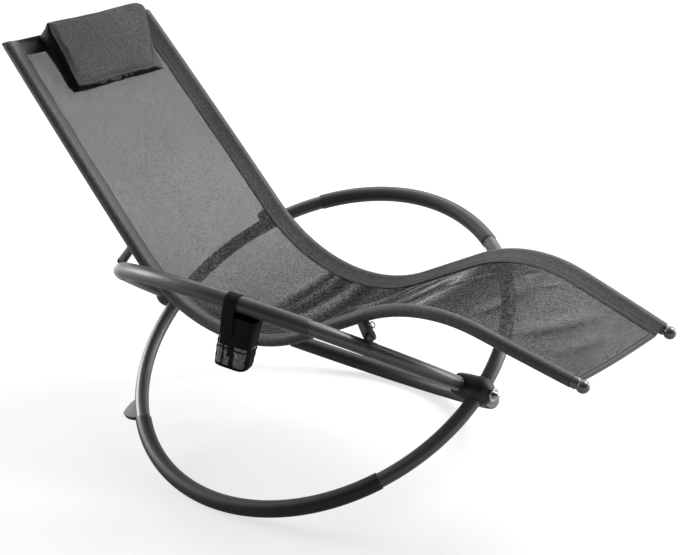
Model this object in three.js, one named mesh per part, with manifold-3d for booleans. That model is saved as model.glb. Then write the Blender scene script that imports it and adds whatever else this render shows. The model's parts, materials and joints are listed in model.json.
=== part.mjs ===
import * as THREE from 'three';
import { mergeVertices } from 'three/addons/utils/BufferGeometryUtils.js';
import Module from 'manifold-3d';

// Rocking chaise lounge, in millimetres. +X points to the sitter's feet, +Y to the sitter's left, and +Z up.
// Two equal steel hoops cross at a front and a rear pivot. Each hoop is an armrest above one side
// and a rocker below the other side. Two bent side rails stand on the hoops and hold the cloth seat.

// Hoops: the angle round a hoop is counted from the front pivot up over the armrest.
const hoopRadius = 420;
const hoopLean = THREE.MathUtils.degToRad(57.4);
const hoopStagger = 37.3;
const hoopTubeRadius = 14;
const tubeWall = 1.5;
const fitGap = 0.3;
const armSleeve = { from: 56, to: 125, radius: 18.2 };
const rockerSleeve = { from: -131.25, to: -37.75, radius: 18.5 };
const hoopSides = 8;
const sleeveSides = 10;
const boreSides = 10;
const hubSides = 14;
const ballSteps = 5;
const armStep = 9;
const rockerStep = 5.5;
const restFlat = 104;

// Pivots: a ball hub on the hoop that passes outside and a plain hub on the one inside it.
const ballRadius = 30;
const plainHubRadius = 24;
const plainHubInset = 19;
const hubChamfer = 3;
const hubFaceGap = 0.4;
const bossRadius = 12;
const bossReach = 34;
const socketFloor = 12;
const socketReach = 3;
const pivotRadius = 5;
const pivotBoreRadius = 5.4;
const pivotHeadRadius = 9;
const pivotHeadHeight = 6;
const pivotThreadEnd = 9;
const washerRadius = 11;
const washerThickness = 1.6;
const washerBoreRadius = 5.4;
const capNutRadius = 8.5;
const capNutHeight = 12;

// Side rails: seen from the side, a straight back, a seat bend, a thigh rise, a knee bend and a foot rest.
// The straight back and thigh stand above the strut hinges, and the seat bend rounds the corner between them.
const railRadius = 11;
const railOutset = 11;
const rearStand = 60;
const frontStand = 49.63;
const backReach = 542.3;
const kneeLead = 21.6;
const backSlope = THREE.MathUtils.degToRad(-45.88);
const thighSlope = THREE.MathUtils.degToRad(26.96);
const footSlope = THREE.MathUtils.degToRad(-15.86);
const seatBendRadius = 378.5;
const kneeBendRadius = 354.3;
const footLength = 205;
const footSpread = 153.5;
const widestPlace = -264;
const leastSpan = 1;
const railSides = 8;
const railSteps = { back: 3, seat: 7, thigh: 1, knee: 4, foot: 2 };

// Struts: each rail stands on two hinge rivets held in lugs on its hoop.
const strutAngles = { front: 35, rear: 145 };
const hingeRise = 27;
const strutRadius = 10;
const strutStart = 8;
const tangThickness = 10;
const tangRadius = 8.7;
const tangReach = 14;
const lugGap = 0.6;
const lugThickness = 4;
const lugRadius = 10;
const lugRelief = 11.5;
const lugCollarRadius = 16.2;
const lugCollarHalf = 20;
const rivetRadius = 3;
const rivetBore = 3.35;
const rivetHead = 5.8;
const rivetHeadHeight = 3.5;
const rivetSides = 8;
const pinRadius = 3;
const pinBore = 3.4;
const pinAlong = 18;
const pinTail = 4;
const pinNose = 22;
const pinHeadRadius = 5.5;
const pinHeadLength = 11;
const pinRingRadius = 11;
const pinRingWire = 1.2;
const pinRingSides = 14;
const wireSides = 6;

// Ball ends of the rails.
const endCap = { footRadius: 14.5, headRadius: 13, neckRadius: 10.5, neckLength: 6, plugLength: 18 };

// Stop feet: flat plates that end the backward rock, clamped at the rear end of each rocker.
const stopFoot = {
  thickness: 10,
  collarRadius: 17.6,
  collarFrom: -141.5,
  collarTo: -133.2,
  apex: -136.3,
  apexReach: 43,
  heelReach: 17,
  toe: -128.7,
  toeReach: 21,
  footing: 6,
};

// Cloth: the side hems are sleeves on the rails, and the seat panel tucks under their flaps.
const clothThickness = 1.3;
const flapWidth = 43;
const flapFootWidth = 33;
const flapThickness = 2.2;
const flapDroop = 5;
const hemHeadInset = 20;
const hemFootInset = 12;
const panelThickness = 1.6;
const panelTuck = 8;
const seatSag = 15;
const baseSag = 5;
const sagCentrePlace = 40;
const sagReach = 330;
const headHemDepth = 37;
const footHemDepth = 22;
const endHemThickness = 3.2;
const sewGap = 0.4;
const panelColumns = 11;
const creases = [
  { place: 40, share: -0.75, angle: 32, depth: 5, width: 26, reach: 150 },
  { place: 120, share: -0.15, angle: 24, depth: 4, width: 24, reach: 140 },
  { place: 60, share: 0.7, angle: -30, depth: 4.5, width: 26, reach: 130 },
  { place: 420, share: 0.1, angle: 70, depth: 4, width: 40, reach: 170 },
];

// Head pillow: a wedge that lies on the back panel and slides down it.
const pillow = {
  width: 268,
  length: 172,
  overhang: 14,
  headThickness: 68,
  lowThickness: 34,
  edgeInset: 13,
  clearance: 0.6,
  points: 28,
  squareness: 5,
};
// Each ring of the pillow: how many edge insets it lies in from the outline, and its share of the height.
const pillowRingShares = [
  [4.5, 0],
  [1.6, 0.03],
  [0.35, 0.25],
  [0, 0.5],
  [0.4, 0.78],
  [1.4, 0.95],
  [3.2, 1.02],
  [5.2, 1.1],
];

// Side pouch on the right armrest.
const pouch = {
  angle: 74,
  strapWidth: 34,
  strapRadius: 20.2,
  strapThickness: 1.6,
  strapDrop: 40,
  shift: 8,
  length: 62,
  width: 78,
  depth: 126,
  top: 25,
  wall: 2,
  flare: 3,
};
const strapSides = 16;

const railFinish = { color: 0x1c1c1e, roughness: 0.38, metalness: 0.55 };
const hoopFinish = { color: 0x1a1a1c, roughness: 0.32, metalness: 0.6 };
const sleeveFinish = { color: 0x2a2a2c, roughness: 0.55, metalness: 0 };
const plasticFinish = { color: 0x151516, roughness: 0.45, metalness: 0 };
const footFinish = { color: 0x6a6a6c, roughness: 0.6, metalness: 0 };
const zincFinish = { color: 0xc8c8c6, roughness: 0.3, metalness: 0.9 };
const meshFinish = { color: 0x777779, roughness: 0.85, metalness: 0 };
const hemFinish = { color: 0x3a3a3c, roughness: 0.9, metalness: 0 };
const pillowFinish = { color: 0x8a8a8b, roughness: 0.9, metalness: 0 };
const pouchFinish = { color: 0x111112, roughness: 0.5, metalness: 0 };

const halfStagger = hoopStagger / 2;
const radians = THREE.MathUtils.degToRad;
const chair = new THREE.Group();

function piece(name, geometry, finish, parent = chair) {
  const mesh = new THREE.Mesh(geometry, new THREE.MeshStandardMaterial(finish));
  mesh.name = name;
  parent.add(mesh);
  return mesh;
}

// Closed skins

function indexed(positions, indices) {
  const corner = (i) => new THREE.Vector3().fromArray(positions, 3 * i);
  let volume = 0;
  for (let i = 0; i < indices.length; i += 3) {
    const [a, b, c] = [0, 1, 2].map((k) => corner(indices[i + k]));
    volume += a.dot(b.cross(c));
  }
  const facing = volume > 0 ? indices : indices.slice().reverse();
  const geometry = new THREE.BufferGeometry();
  geometry.setAttribute('position', new THREE.Float32BufferAttribute(positions, 3));
  geometry.setIndex(facing);
  geometry.computeVertexNormals();
  return geometry;
}

// A skin through rings of points. Bores are matching inner rings, which leave both ends open.
function loft(rings, bores = null) {
  const sides = rings[0].length;
  const positions = [];
  const indices = [];
  const lay = (ring) => {
    const first = positions.length / 3;
    ring.forEach((point) => positions.push(point.x, point.y, point.z));
    return first;
  };
  const strip = (near, far) => {
    for (let i = 0; i < sides; i += 1) {
      const j = (i + 1) % sides;
      indices.push(near + i, far + i, far + j, near + i, far + j, near + j);
    }
  };
  const outside = rings.map(lay);
  outside.slice(1).forEach((far, i) => strip(outside[i], far));
  if (bores) {
    const inside = bores.map(lay);
    inside.slice(1).forEach((far, i) => strip(far, inside[i]));
    strip(inside[0], outside[0]);
    strip(outside.at(-1), inside.at(-1));
  } else {
    const last = outside.at(-1);
    for (let i = 1; i < sides - 1; i += 1) {
      indices.push(0, i, i + 1, last, last + i + 1, last + i);
    }
  }
  return indexed(positions, indices);
}

// A thin sheet between two grids of points, rows along and columns across.
function sheet(topRows, bottomRows) {
  const rows = topRows.length;
  const columns = topRows[0].length;
  const positions = [];
  const indices = [];
  [...topRows.flat(), ...bottomRows.flat()].forEach((point) => positions.push(point.x, point.y, point.z));
  const top = (i, j) => i * columns + j;
  const bottom = (i, j) => rows * columns + i * columns + j;
  const quad = (a, b, c, d) => indices.push(a, b, c, a, c, d);
  for (let i = 0; i < rows - 1; i += 1) {
    for (let j = 0; j < columns - 1; j += 1) {
      quad(top(i, j), top(i + 1, j), top(i + 1, j + 1), top(i, j + 1));
      quad(bottom(i, j), bottom(i, j + 1), bottom(i + 1, j + 1), bottom(i + 1, j));
    }
    quad(top(i, 0), bottom(i, 0), bottom(i + 1, 0), top(i + 1, 0));
    const edge = columns - 1;
    quad(top(i, edge), top(i + 1, edge), bottom(i + 1, edge), bottom(i, edge));
  }
  for (let j = 0; j < columns - 1; j += 1) {
    quad(top(0, j), top(0, j + 1), bottom(0, j + 1), bottom(0, j));
    const end = rows - 1;
    quad(top(end, j), bottom(end, j), bottom(end, j + 1), top(end, j + 1));
  }
  return indexed(positions, indices);
}

// Turned pieces: profile points are [radius, distance along X], and out is 1 or -1 along X.
function turned(profile, out = 1, sides = boreSides) {
  const points = profile.map(([radius, along]) => new THREE.Vector2(radius, along));
  const geometry = new THREE.LatheGeometry(points, sides);
  return geometry.rotateZ(-out * Math.PI / 2);
}

function cylinderAlong(start, end, radius, sides = boreSides) {
  const span = new THREE.Vector3().subVectors(end, start);
  const geometry = new THREE.CylinderGeometry(radius, radius, span.length(), sides);
  const turn = new THREE.Quaternion().setFromUnitVectors(new THREE.Vector3(0, 1, 0), span.normalize());
  geometry.applyQuaternion(turn);
  const middle = new THREE.Vector3().addVectors(start, end).multiplyScalar(1 / 2);
  return geometry.translate(middle.x, middle.y, middle.z);
}

// Joins and cuts

const wasm = await Module();
wasm.setup();

function solid(geometry) {
  const bare = geometry.clone();
  bare.deleteAttribute('normal');
  bare.deleteAttribute('uv');
  const merged = mergeVertices(bare);
  const triVerts = Uint32Array.from(merged.index.array);
  const vertProperties = merged.attributes.position.array;
  return new wasm.Manifold(new wasm.Mesh({ numProp: 3, vertProperties, triVerts }));
}

function shaped(body) {
  const { vertProperties, triVerts } = body.getMesh();
  return indexed(Array.from(vertProperties), Array.from(triVerts));
}

function joined(geometries) {
  return geometries.map(solid).reduce((whole, part) => whole.add(part));
}

function cut(body, geometries) {
  return geometries.map(solid).reduce((whole, part) => whole.subtract(part), body);
}

// Hoops

function onHoop(degrees, radial, normal) {
  const angle = radians(degrees);
  const radius = hoopRadius + radial;
  return new THREE.Vector3(radius * Math.cos(angle), normal, radius * Math.sin(angle));
}

function ring(radius, sides, turn = 0) {
  return Array.from({ length: sides }, (_, i) => {
    const angle = turn + (2 * Math.PI * i) / sides;
    return [radius * Math.cos(angle), radius * Math.sin(angle)];
  });
}

function spaced(from, to, step) {
  const count = Math.max(1, Math.round(Math.abs(to - from) / step));
  return Array.from({ length: count + 1 }, (_, i) => from + ((to - from) * i) / count);
}

function hoopBar(angles, section, bore = null) {
  const rings = (outline) => angles.map((degrees) => outline.map(([a, b]) => onHoop(degrees, a, b)));
  return loft(rings(section), bore && rings(bore));
}

function socket(centre, side) {
  const toward = (reach) => centre + side * THREE.MathUtils.radToDeg(reach / hoopRadius);
  const sleeve = ring((hoopTubeRadius + fitGap) / Math.cos(Math.PI / hoopSides), hoopSides);
  return hoopBar([toward(socketFloor), toward(ballRadius), toward(2 * ballRadius)], sleeve);
}

function pivotBore(x, out) {
  const near = new THREE.Vector3(x - out * 2 * ballRadius, 0, 0);
  const far = new THREE.Vector3(x + out * 2 * ballRadius, 0, 0);
  return cylinderAlong(near, far, pivotBoreRadius);
}

function hub(centre, profile, out) {
  const x = out * hoopRadius;
  const body = solid(turned(profile, out, hubSides).translate(x, 0, 0));
  return shaped(cut(body, [socket(centre, 1), socket(centre, -1), pivotBore(x, out)]));
}

function ballProfile() {
  const flat = halfStagger - hubFaceGap / 2;
  const start = Math.acos(-flat / ballRadius);
  const end = Math.asin(bossRadius / ballRadius);
  const arc = Array.from({ length: ballSteps + 1 }, (_, i) => {
    const angle = start + ((end - start) * i) / ballSteps;
    return [ballRadius * Math.sin(angle), ballRadius * Math.cos(angle)];
  });
  return [[0, -flat], ...arc, [bossRadius, bossReach], [0, bossReach]];
}

function plainProfile() {
  const face = halfStagger - hubFaceGap / 2;
  return [
    [0, -plainHubInset],
    [plainHubRadius - hubChamfer, -plainHubInset],
    [plainHubRadius, hubChamfer - plainHubInset],
    [plainHubRadius, face],
    [0, face],
  ];
}

// Stations round the hoop: every clamp and sleeve on it starts and ends at one of them.
const arcDegrees = (length) => THREE.MathUtils.radToDeg(length / hoopRadius);
const halfTurn = 180;
const hubEnd = arcDegrees(socketFloor + socketReach);
const lugHalf = arcDegrees(lugCollarHalf);

function marked(marks, step) {
  return marks.slice(1).flatMap((mark, i) => spaced(marks[i], mark, step).slice(i ? 1 : 0));
}

const armAngles = marked([
  hubEnd,
  strutAngles.front - lugHalf,
  strutAngles.front + lugHalf,
  armSleeve.from,
  armSleeve.to,
  strutAngles.rear - lugHalf,
  strutAngles.rear + lugHalf,
  halfTurn - hubEnd,
], armStep);
// The chair stands on a short level flat at the bottom of each rocker.
const restHalf = THREE.MathUtils.radToDeg(Math.asin(restFlat / 2 / hoopRadius));
const rockerSleeveAngles = [
  ...spaced(rockerSleeve.from, -restHalf - halfTurn / 2, rockerStep),
  ...spaced(restHalf - halfTurn / 2, rockerSleeve.to, rockerStep),
];
const rockerAngles = [
  ...marked([hubEnd - halfTurn, stopFoot.collarFrom, stopFoot.collarTo, rockerSleeve.from], armStep),
  ...rockerSleeveAngles.slice(1),
  ...spaced(rockerSleeve.to, -hubEnd, armStep).slice(1),
];

// The room that a hoop's tube needs near an angle, with the fit gap round it.
function tubeRoom(angles, degrees) {
  const near = angles.filter((angle) => Math.abs(angle - degrees) < 3 * armStep);
  return hoopBar(near, ring((hoopTubeRadius + fitGap) / Math.cos(Math.PI / boreSides), boreSides));
}

function hoopTubes(name, group) {
  const section = ring(hoopTubeRadius, hoopSides);
  const bore = ring(hoopTubeRadius - tubeWall, hoopSides);
  piece(`${name}_arm_tube`, hoopBar(armAngles, section, bore), hoopFinish, group);
  piece(`${name}_rocker_tube`, hoopBar(rockerAngles, section, bore), hoopFinish, group);
}

// The rocker sleeve is turned so that one of its flats lies level on the floor.
function floorTurn(side) {
  const facet = (2 * Math.PI) / sleeveSides;
  return side * (hoopLean - facet / 2);
}

function sleeveSections(radius, turn) {
  const clear = (hoopTubeRadius + fitGap) / Math.cos(Math.PI / sleeveSides);
  return [ring(radius, sleeveSides, turn), ring(clear, sleeveSides, turn)];
}

function hoopSleeves(name, side, group) {
  const arm = spaced(armSleeve.from, armSleeve.to, armStep);
  const armSections = sleeveSections(armSleeve.radius, 0);
  const rockerSections = sleeveSections(rockerSleeve.radius, floorTurn(side));
  piece(`${name}_arm_sleeve`, hoopBar(arm, ...armSections), sleeveFinish, group);
  piece(`${name}_rocker_sleeve`, hoopBar(rockerSleeveAngles, ...rockerSections), sleeveFinish, group);
}

// Stop foot: a collar on the tube and a flat fin outside it, clear of the rocker sleeve.
function hoopStopFoot(name, side, group) {
  const foot = stopFoot;
  const half = foot.thickness / 2;
  const outline = [
    onHoop(foot.collarFrom, 0, 0),
    onHoop(foot.collarFrom, foot.heelReach, 0),
    onHoop(foot.apex, foot.apexReach, 0),
    onHoop(foot.toe, foot.toeReach, 0),
    onHoop(foot.toe, foot.footing, 0),
    onHoop(foot.collarTo, 0, 0),
  ];
  const layer = (normal) => outline.map((point) => new THREE.Vector3(point.x, normal, point.z));
  const fin = loft([layer(-half), layer(half)]);
  const collar = hoopBar([foot.collarFrom, foot.collarTo], ring(foot.collarRadius, sleeveSides));
  const tube = tubeRoom(rockerAngles, foot.apex);
  const start = rockerSleeveAngles.slice(0, 3);
  const room = ring(rockerSleeve.radius + 2 * fitGap, sleeveSides, floorTurn(side));
  const sleeve = hoopBar([rockerSleeve.from - arcDegrees(4 * fitGap), ...start], room);
  piece(`${name}_stop_foot`, shaped(cut(joined([fin, collar]), [tube, sleeve])), footFinish, group);
}

const hoops = {
  right: { side: -1, shift: -halfStagger, frontHub: 'plain', rearHub: 'ball' },
  left: { side: 1, shift: halfStagger, frontHub: 'ball', rearHub: 'plain' },
};

function buildHoop(name, hoop) {
  const group = new THREE.Group();
  group.position.x = hoop.shift;
  group.rotation.x = -hoop.side * hoopLean;
  chair.add(group);
  const profiles = { ball: ballProfile(), plain: plainProfile() };
  hoopTubes(name, group);
  hoopSleeves(name, hoop.side, group);
  piece(`${name}_front_hub`, hub(0, profiles[hoop.frontHub], 1), plasticFinish, group);
  piece(`${name}_rear_hub`, hub(halfTurn, profiles[hoop.rearHub], -1), plasticFinish, group);
  hoopStopFoot(name, hoop.side, group);
}

// Pivot bolts: one at the front and one at the rear, both on the line where the hoops cross.
function pivotSet(name, out) {
  const inner = out * (hoopRadius - halfStagger - plainHubInset);
  const outer = out * (hoopRadius + halfStagger + bossReach);
  const along = (x, distance) => x + out * distance;
  const shank = Math.abs(outer - inner) + 2 * washerThickness + pivotThreadEnd;
  const bolt = turned([
    [0, -pivotHeadHeight],
    [pivotHeadRadius, -pivotHeadHeight],
    [pivotHeadRadius, 0],
    [pivotRadius, 0],
    [pivotRadius, shank],
    [0, shank],
  ], out);
  const seat = along(inner, -washerThickness - 2 * fitGap);
  piece(`${name}_pivot_bolt`, bolt.translate(seat, 0, 0), zincFinish);
  const nutBore = pivotBoreRadius;
  const nut = turned([
    [nutBore, 0],
    [capNutRadius, 0],
    [capNutRadius, capNutHeight / 2],
    [capNutRadius * 3 / 4, capNutHeight],
    [0, capNutHeight + washerThickness],
    [0, capNutHeight - washerThickness / 2],
    [nutBore, capNutHeight - washerThickness],
    [nutBore, 0],
  ], out);
  piece(`${name}_cap_nut`, nut.translate(along(outer, washerThickness + 2 * fitGap), 0, 0), zincFinish);
  const washer = (x) => turned([
    [washerBoreRadius, 0],
    [washerRadius, 0],
    [washerRadius, washerThickness],
    [washerBoreRadius, washerThickness],
    [washerBoreRadius, 0],
  ], out).translate(x, 0, 0);
  piece(`${name}_inner_washer`, washer(along(inner, -washerThickness - fitGap)), zincFinish);
  piece(`${name}_outer_washer`, washer(along(outer, fitGap)), zincFinish);
}

// Rails

const railSpread = hingePoint(1, 'front').y + railOutset;
const heading = (slope) => new THREE.Vector2(Math.cos(slope), Math.sin(slope));

function standing(end, slope, stand) {
  const hinge = hingePoint(1, end);
  const middle = new THREE.Vector2(hinge.x - halfStagger, hinge.z);
  return middle.add(new THREE.Vector2(-Math.sin(slope), Math.cos(slope)).multiplyScalar(stand));
}

function railPath() {
  const stations = [];
  const backPoint = standing('rear', backSlope, rearStand);
  const span = standing('front', thighSlope, frontStand).sub(backPoint);
  const bendTurn = thighSlope - backSlope;
  const tangent = seatBendRadius * Math.tan(bendTurn / 2);
  const backLength = backReach + span.cross(heading(thighSlope)) / Math.sin(bendTurn) - tangent;
  const thighLength = heading(backSlope).cross(span) / Math.sin(bendTurn) - kneeLead - tangent;
  let { x, y: z } = backPoint.addScaledVector(heading(backSlope), -backReach);
  let slope = backSlope;
  stations.push({ x, z, slope });
  const straight = (length, steps) => {
    for (let i = 0; i < steps; i += 1) {
      x += (length / steps) * Math.cos(slope);
      z += (length / steps) * Math.sin(slope);
      stations.push({ x, z, slope });
    }
  };
  const bend = (radius, endSlope, steps) => {
    const turn = (endSlope - slope) / steps;
    const chord = 2 * radius * Math.sin(Math.abs(turn) / 2);
    for (let i = 0; i < steps; i += 1) {
      x += chord * Math.cos(slope + turn / 2);
      z += chord * Math.sin(slope + turn / 2);
      slope += turn;
      stations.push({ x, z, slope });
    }
  };
  straight(backLength, railSteps.back);
  bend(seatBendRadius, thighSlope, railSteps.seat);
  straight(thighLength, railSteps.thigh);
  bend(kneeBendRadius, footSlope, railSteps.knee);
  straight(footLength, railSteps.foot);
  return stations;
}

const stations = railPath();
const headStation = stations[0];
const footStation = stations.at(-1);
const inwardSweep = (railSpread - footSpread) / (footStation.x - widestPlace) ** 2;

function railHalf(x) {
  return railSpread - inwardSweep * (x - widestPlace) ** 2;
}

// A point beside a rail: inward is level toward the middle of the seat, lift is square to the seat.
function railPoint(station, side, inward, lift) {
  const y = side * (railHalf(station.x) - inward);
  const x = station.x - Math.sin(station.slope) * lift;
  return new THREE.Vector3(x, y, station.z + Math.cos(station.slope) * lift);
}

// The station a distance in from either end of the rail, along the straight end.
function inFrom(end, distance) {
  const way = end === headStation ? 1 : -1;
  const x = end.x + way * distance * Math.cos(end.slope);
  return { x, z: end.z + way * distance * Math.sin(end.slope), slope: end.slope };
}

function between(start, end) {
  const inside = ({ x }) => x > start.x + leastSpan && x < end.x - leastSpan;
  return [start, ...stations.filter(inside), end];
}

function nearestOnRail(x, z) {
  const spans = stations.slice(1).map((end, i) => {
    const start = stations[i];
    const run = new THREE.Vector2(end.x - start.x, end.z - start.z);
    const from = new THREE.Vector2(x - start.x, z - start.z);
    const share = THREE.MathUtils.clamp(from.dot(run) / run.lengthSq(), 0, 1);
    const point = new THREE.Vector2(start.x, start.z).addScaledVector(run, share);
    const slope = THREE.MathUtils.lerp(start.slope, end.slope, share);
    return { x: point.x, z: point.y, slope, distance: Math.hypot(point.x - x, point.y - z) };
  });
  return spans.reduce((best, span) => (span.distance < best.distance ? span : best));
}

function railTube(side, radius, bore) {
  const rings = (outline) => stations.map((station) => (
    outline.map(([inward, lift]) => railPoint(station, side, inward, lift))));
  return loft(rings(ring(radius, railSides)), bore && rings(ring(bore, railSides)));
}

// Hinge points of the struts, straight above the hoop tube.
function hingePoint(side, end) {
  const angle = radians(strutAngles[end]);
  const x = side * halfStagger + hoopRadius * Math.cos(angle);
  const reach = hoopRadius * Math.sin(angle);
  const y = side * reach * Math.sin(hoopLean);
  return new THREE.Vector3(x, y, reach * Math.cos(hoopLean) + hingeRise);
}

const alongX = (point, from, to) => [from, to].map((distance) => (
  new THREE.Vector3(point.x + distance, point.y, point.z)));

function strutAxis(side, end) {
  const hinge = hingePoint(side, end);
  const onRail = nearestOnRail(hinge.x, hinge.z);
  const top = railPoint(onRail, side, 0, 0);
  const run = new THREE.Vector3(Math.cos(onRail.slope), 0, Math.sin(onRail.slope));
  return { hinge, top, run, toward: new THREE.Vector3().subVectors(top, hinge).normalize() };
}

function strut(side, end) {
  const { hinge, top, toward, run } = strutAxis(side, end);
  const start = hinge.clone().addScaledVector(toward, strutStart);
  const bar = cylinderAlong(start, top, strutRadius);
  const half = tangThickness / 2;
  const tang = cylinderAlong(...alongX(hinge, -half, half), tangRadius);
  const web = new THREE.BoxGeometry(tangThickness, 2 * tangRadius, tangReach);
  web.translate(hinge.x, hinge.y, hinge.z + tangReach / 2);
  const reliefs = [1, -1].map((way) => (
    cylinderAlong(...alongX(hinge, way * half, way * 4 * half), lugRelief)));
  const body = cut(joined([bar, web]), reliefs).add(solid(tang));
  const bolt = cylinderAlong(...alongX(hinge, -2 * half, 2 * half), rivetBore);
  const clear = (railRadius + fitGap) / Math.cos(Math.PI / railSides);
  const rail = [-3 * strutRadius, 3 * strutRadius].map((reach) => top.clone().addScaledVector(run, reach));
  const cuts = [cylinderAlong(...rail, clear), bolt];
  if (end === 'front') {
    const crossing = pinPoint(side);
    cuts.push(cylinderAlong(...alongX(crossing, -3 * strutRadius, 3 * strutRadius), pinBore));
  }
  return shaped(cut(body, cuts));
}

function pinPoint(side) {
  const { hinge, toward } = strutAxis(side, 'front');
  return hinge.clone().addScaledVector(toward, pinAlong);
}

// Lug: a collar on the hoop tube with two cheeks that hold the strut's hinge rivet.
function lug(side, end) {
  const degrees = strutAngles[end];
  const hinge = hingePoint(side, end);
  const near = tangThickness / 2 + lugGap;
  const far = near + lugThickness;
  const cheeks = [1, -1].flatMap((way) => {
    const eye = cylinderAlong(...alongX(hinge, way * near, way * far), lugRadius);
    const stem = new THREE.BoxGeometry(lugThickness, 2 * lugRadius, hingeRise);
    stem.translate(hinge.x + (way * (near + far)) / 2, hinge.y, hinge.z - hingeRise / 2);
    return [eye, stem];
  });
  const collar = hoopBar([degrees - lugHalf, degrees + lugHalf], ring(lugCollarRadius, boreSides));
  collar.applyMatrix4(hoopMatrix(side));
  const tube = tubeRoom(armAngles, degrees).applyMatrix4(hoopMatrix(side));
  const bore = cylinderAlong(...alongX(hinge, -2 * far, 2 * far), rivetBore);
  const swing = cylinderAlong(...alongX(hinge, -near, near), tangRadius + lugGap);
  return shaped(cut(joined([collar, ...cheeks]), [tube, bore, swing]));
}

function hoopMatrix(side) {
  const matrix = new THREE.Matrix4().makeRotationX(-side * hoopLean);
  return matrix.setPosition(side * halfStagger, 0, 0);
}

function rivet(side, end) {
  const reach = tangThickness / 2 + lugGap + lugThickness + fitGap;
  const hinge = hingePoint(side, end);
  const half = [
    [rivetRadius, reach],
    [rivetHead, reach],
    [rivetHead * 3 / 4, reach + rivetHeadHeight * 3 / 4],
    [0, reach + rivetHeadHeight],
  ];
  const mirrored = half.map(([radius, along]) => [radius, -along]).reverse();
  return turned([...mirrored, ...half], 1, rivetSides).translate(hinge.x, hinge.y, hinge.z);
}

// Lock pin: a headed pin through the front strut, with a wire ring to pull it by.
function lockPin(side) {
  const centre = pinPoint(side);
  const nose = -strutRadius - pinTail;
  const shoulder = strutRadius + pinNose - pinHeadLength;
  const pin = turned([
    [0, nose],
    [pinRadius, nose],
    [pinRadius, shoulder],
    [pinHeadRadius, shoulder],
    [pinHeadRadius, shoulder + pinHeadLength],
    [0, shoulder + pinHeadLength],
  ]);
  pin.translate(centre.x, centre.y, centre.z);
  const grip = centre.x + shoulder + pinHeadLength / 2;
  const wire = (radius, sides) => new THREE.TorusGeometry(pinRingRadius, radius, sides, pinRingSides)
    .rotateY(Math.PI / 2).translate(grip, centre.y, centre.z - pinRingRadius);
  const wireRoom = wire((pinRingWire + fitGap) / Math.cos(Math.PI / wireSides), wireSides);
  const body = shaped(cut(solid(pin), [wireRoom]));
  return { pin: body, ring: wire(pinRingWire, wireSides - 1) };
}

function railCap(side, end, radius) {
  const before = end === headStation ? stations[1] : stations.at(-2);
  const place = railPoint(end, side, 0, 0);
  const direction = place.clone().sub(railPoint(before, side, 0, 0)).normalize();
  const neck = endCap.neckRadius;
  const plug = (railRadius - tubeWall) * Math.cos(Math.PI / railSides) - 2 * fitGap;
  const shoulder = fitGap + railRadius * Math.abs(direction.y);
  const start = Math.PI - Math.asin(neck / radius);
  const middle = endCap.neckLength - radius * Math.cos(start);
  const ball = Array.from({ length: ballSteps }, (_, i) => {
    const angle = start * (1 - i / ballSteps);
    return [radius * Math.sin(angle), middle + radius * Math.cos(angle)];
  });
  const profile = [
    [0, -endCap.plugLength],
    [plug, -endCap.plugLength],
    [plug, shoulder],
    [neck, shoulder],
    ...ball,
    [0, middle + radius],
  ];
  const points = profile.map(([r, along]) => new THREE.Vector2(r, along));
  const geometry = new THREE.LatheGeometry(points, boreSides);
  const turn = new THREE.Quaternion().setFromUnitVectors(new THREE.Vector3(0, 1, 0), direction);
  geometry.applyQuaternion(turn);
  return geometry.translate(place.x, place.y, place.z);
}

// Cloth

const hemRadius = railRadius + fitGap + clothThickness;
const hemStart = inFrom(headStation, hemHeadInset);
const hemEnd = inFrom(footStation, hemFootInset);

function flapAt(station) {
  const start = inFrom(footStation, footLength).x;
  const share = THREE.MathUtils.clamp((station.x - start) / (footStation.x - start), 0, 1);
  return THREE.MathUtils.lerp(flapWidth, flapFootWidth, share);
}

function flapTop(station, inward) {
  return hemRadius - flapDroop * Math.min(inward / flapAt(station), 1);
}

// A hem's outline: round the rail, with a flap that runs inward from the top.
function hemOutline(station) {
  const circle = (radius, degrees) => [
    radius * Math.cos(radians(degrees)),
    radius * Math.sin(radians(degrees)),
  ];
  const flap = flapAt(station);
  const tip = flapTop(station, flap);
  const rootAngle = 45;
  const round = [135, 180, 225, 270, 315, 0];
  const outside = [
    circle(hemRadius, rootAngle),
    [flap, tip - flapThickness],
    [flap, tip],
    circle(hemRadius, 90),
    ...round.map((degrees) => circle(hemRadius, degrees)),
  ];
  const bore = railRadius + fitGap;
  const inside = [rootAngle, 60, 75, 90, ...round].map((degrees) => circle(bore, degrees));
  return { outside, inside };
}

function sideHem(side) {
  const path = between(hemStart, hemEnd);
  const rings = (part) => path.map((station) => (
    hemOutline(station)[part].map(([inward, lift]) => railPoint(station, side, inward, lift))));
  const body = solid(loft(rings('outside'), rings('inside')));
  const cuts = Object.keys(strutAngles).map((end) => {
    const { hinge, top } = strutAxis(side, end);
    return cylinderAlong(hinge, top, strutRadius + 2 * fitGap);
  });
  return shaped(cut(body, cuts));
}

function sagAt(x) {
  return baseSag + seatSag * Math.exp(-(((x - sagCentrePlace) / sagReach) ** 2));
}

function creaseLift(x, y, half) {
  return creases.reduce((lift, crease) => {
    const angle = radians(crease.angle);
    const dx = x - crease.place;
    const dy = y - crease.share * half;
    const along = dx * Math.cos(angle) + dy * Math.sin(angle);
    const across = dy * Math.cos(angle) - dx * Math.sin(angle);
    const fade = Math.exp(-((along / crease.reach) ** 2));
    return lift + crease.depth * fade * Math.exp(-((across / crease.width) ** 2));
  }, 0);
}

// How high the panel's upper face lies above the rails' line, at a distance y from the middle.
function panelLift(station, y) {
  const open = railHalf(station.x) - flapAt(station);
  const inward = railHalf(station.x) - Math.abs(y);
  const tuck = flapTop(station, inward) - flapThickness - fitGap;
  const share = Math.min(Math.abs(y) / open, 1);
  const belly = 1 - share ** 2;
  return tuck - sagAt(station.x) * belly + belly * creaseLift(station.x, y, open);
}

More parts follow.
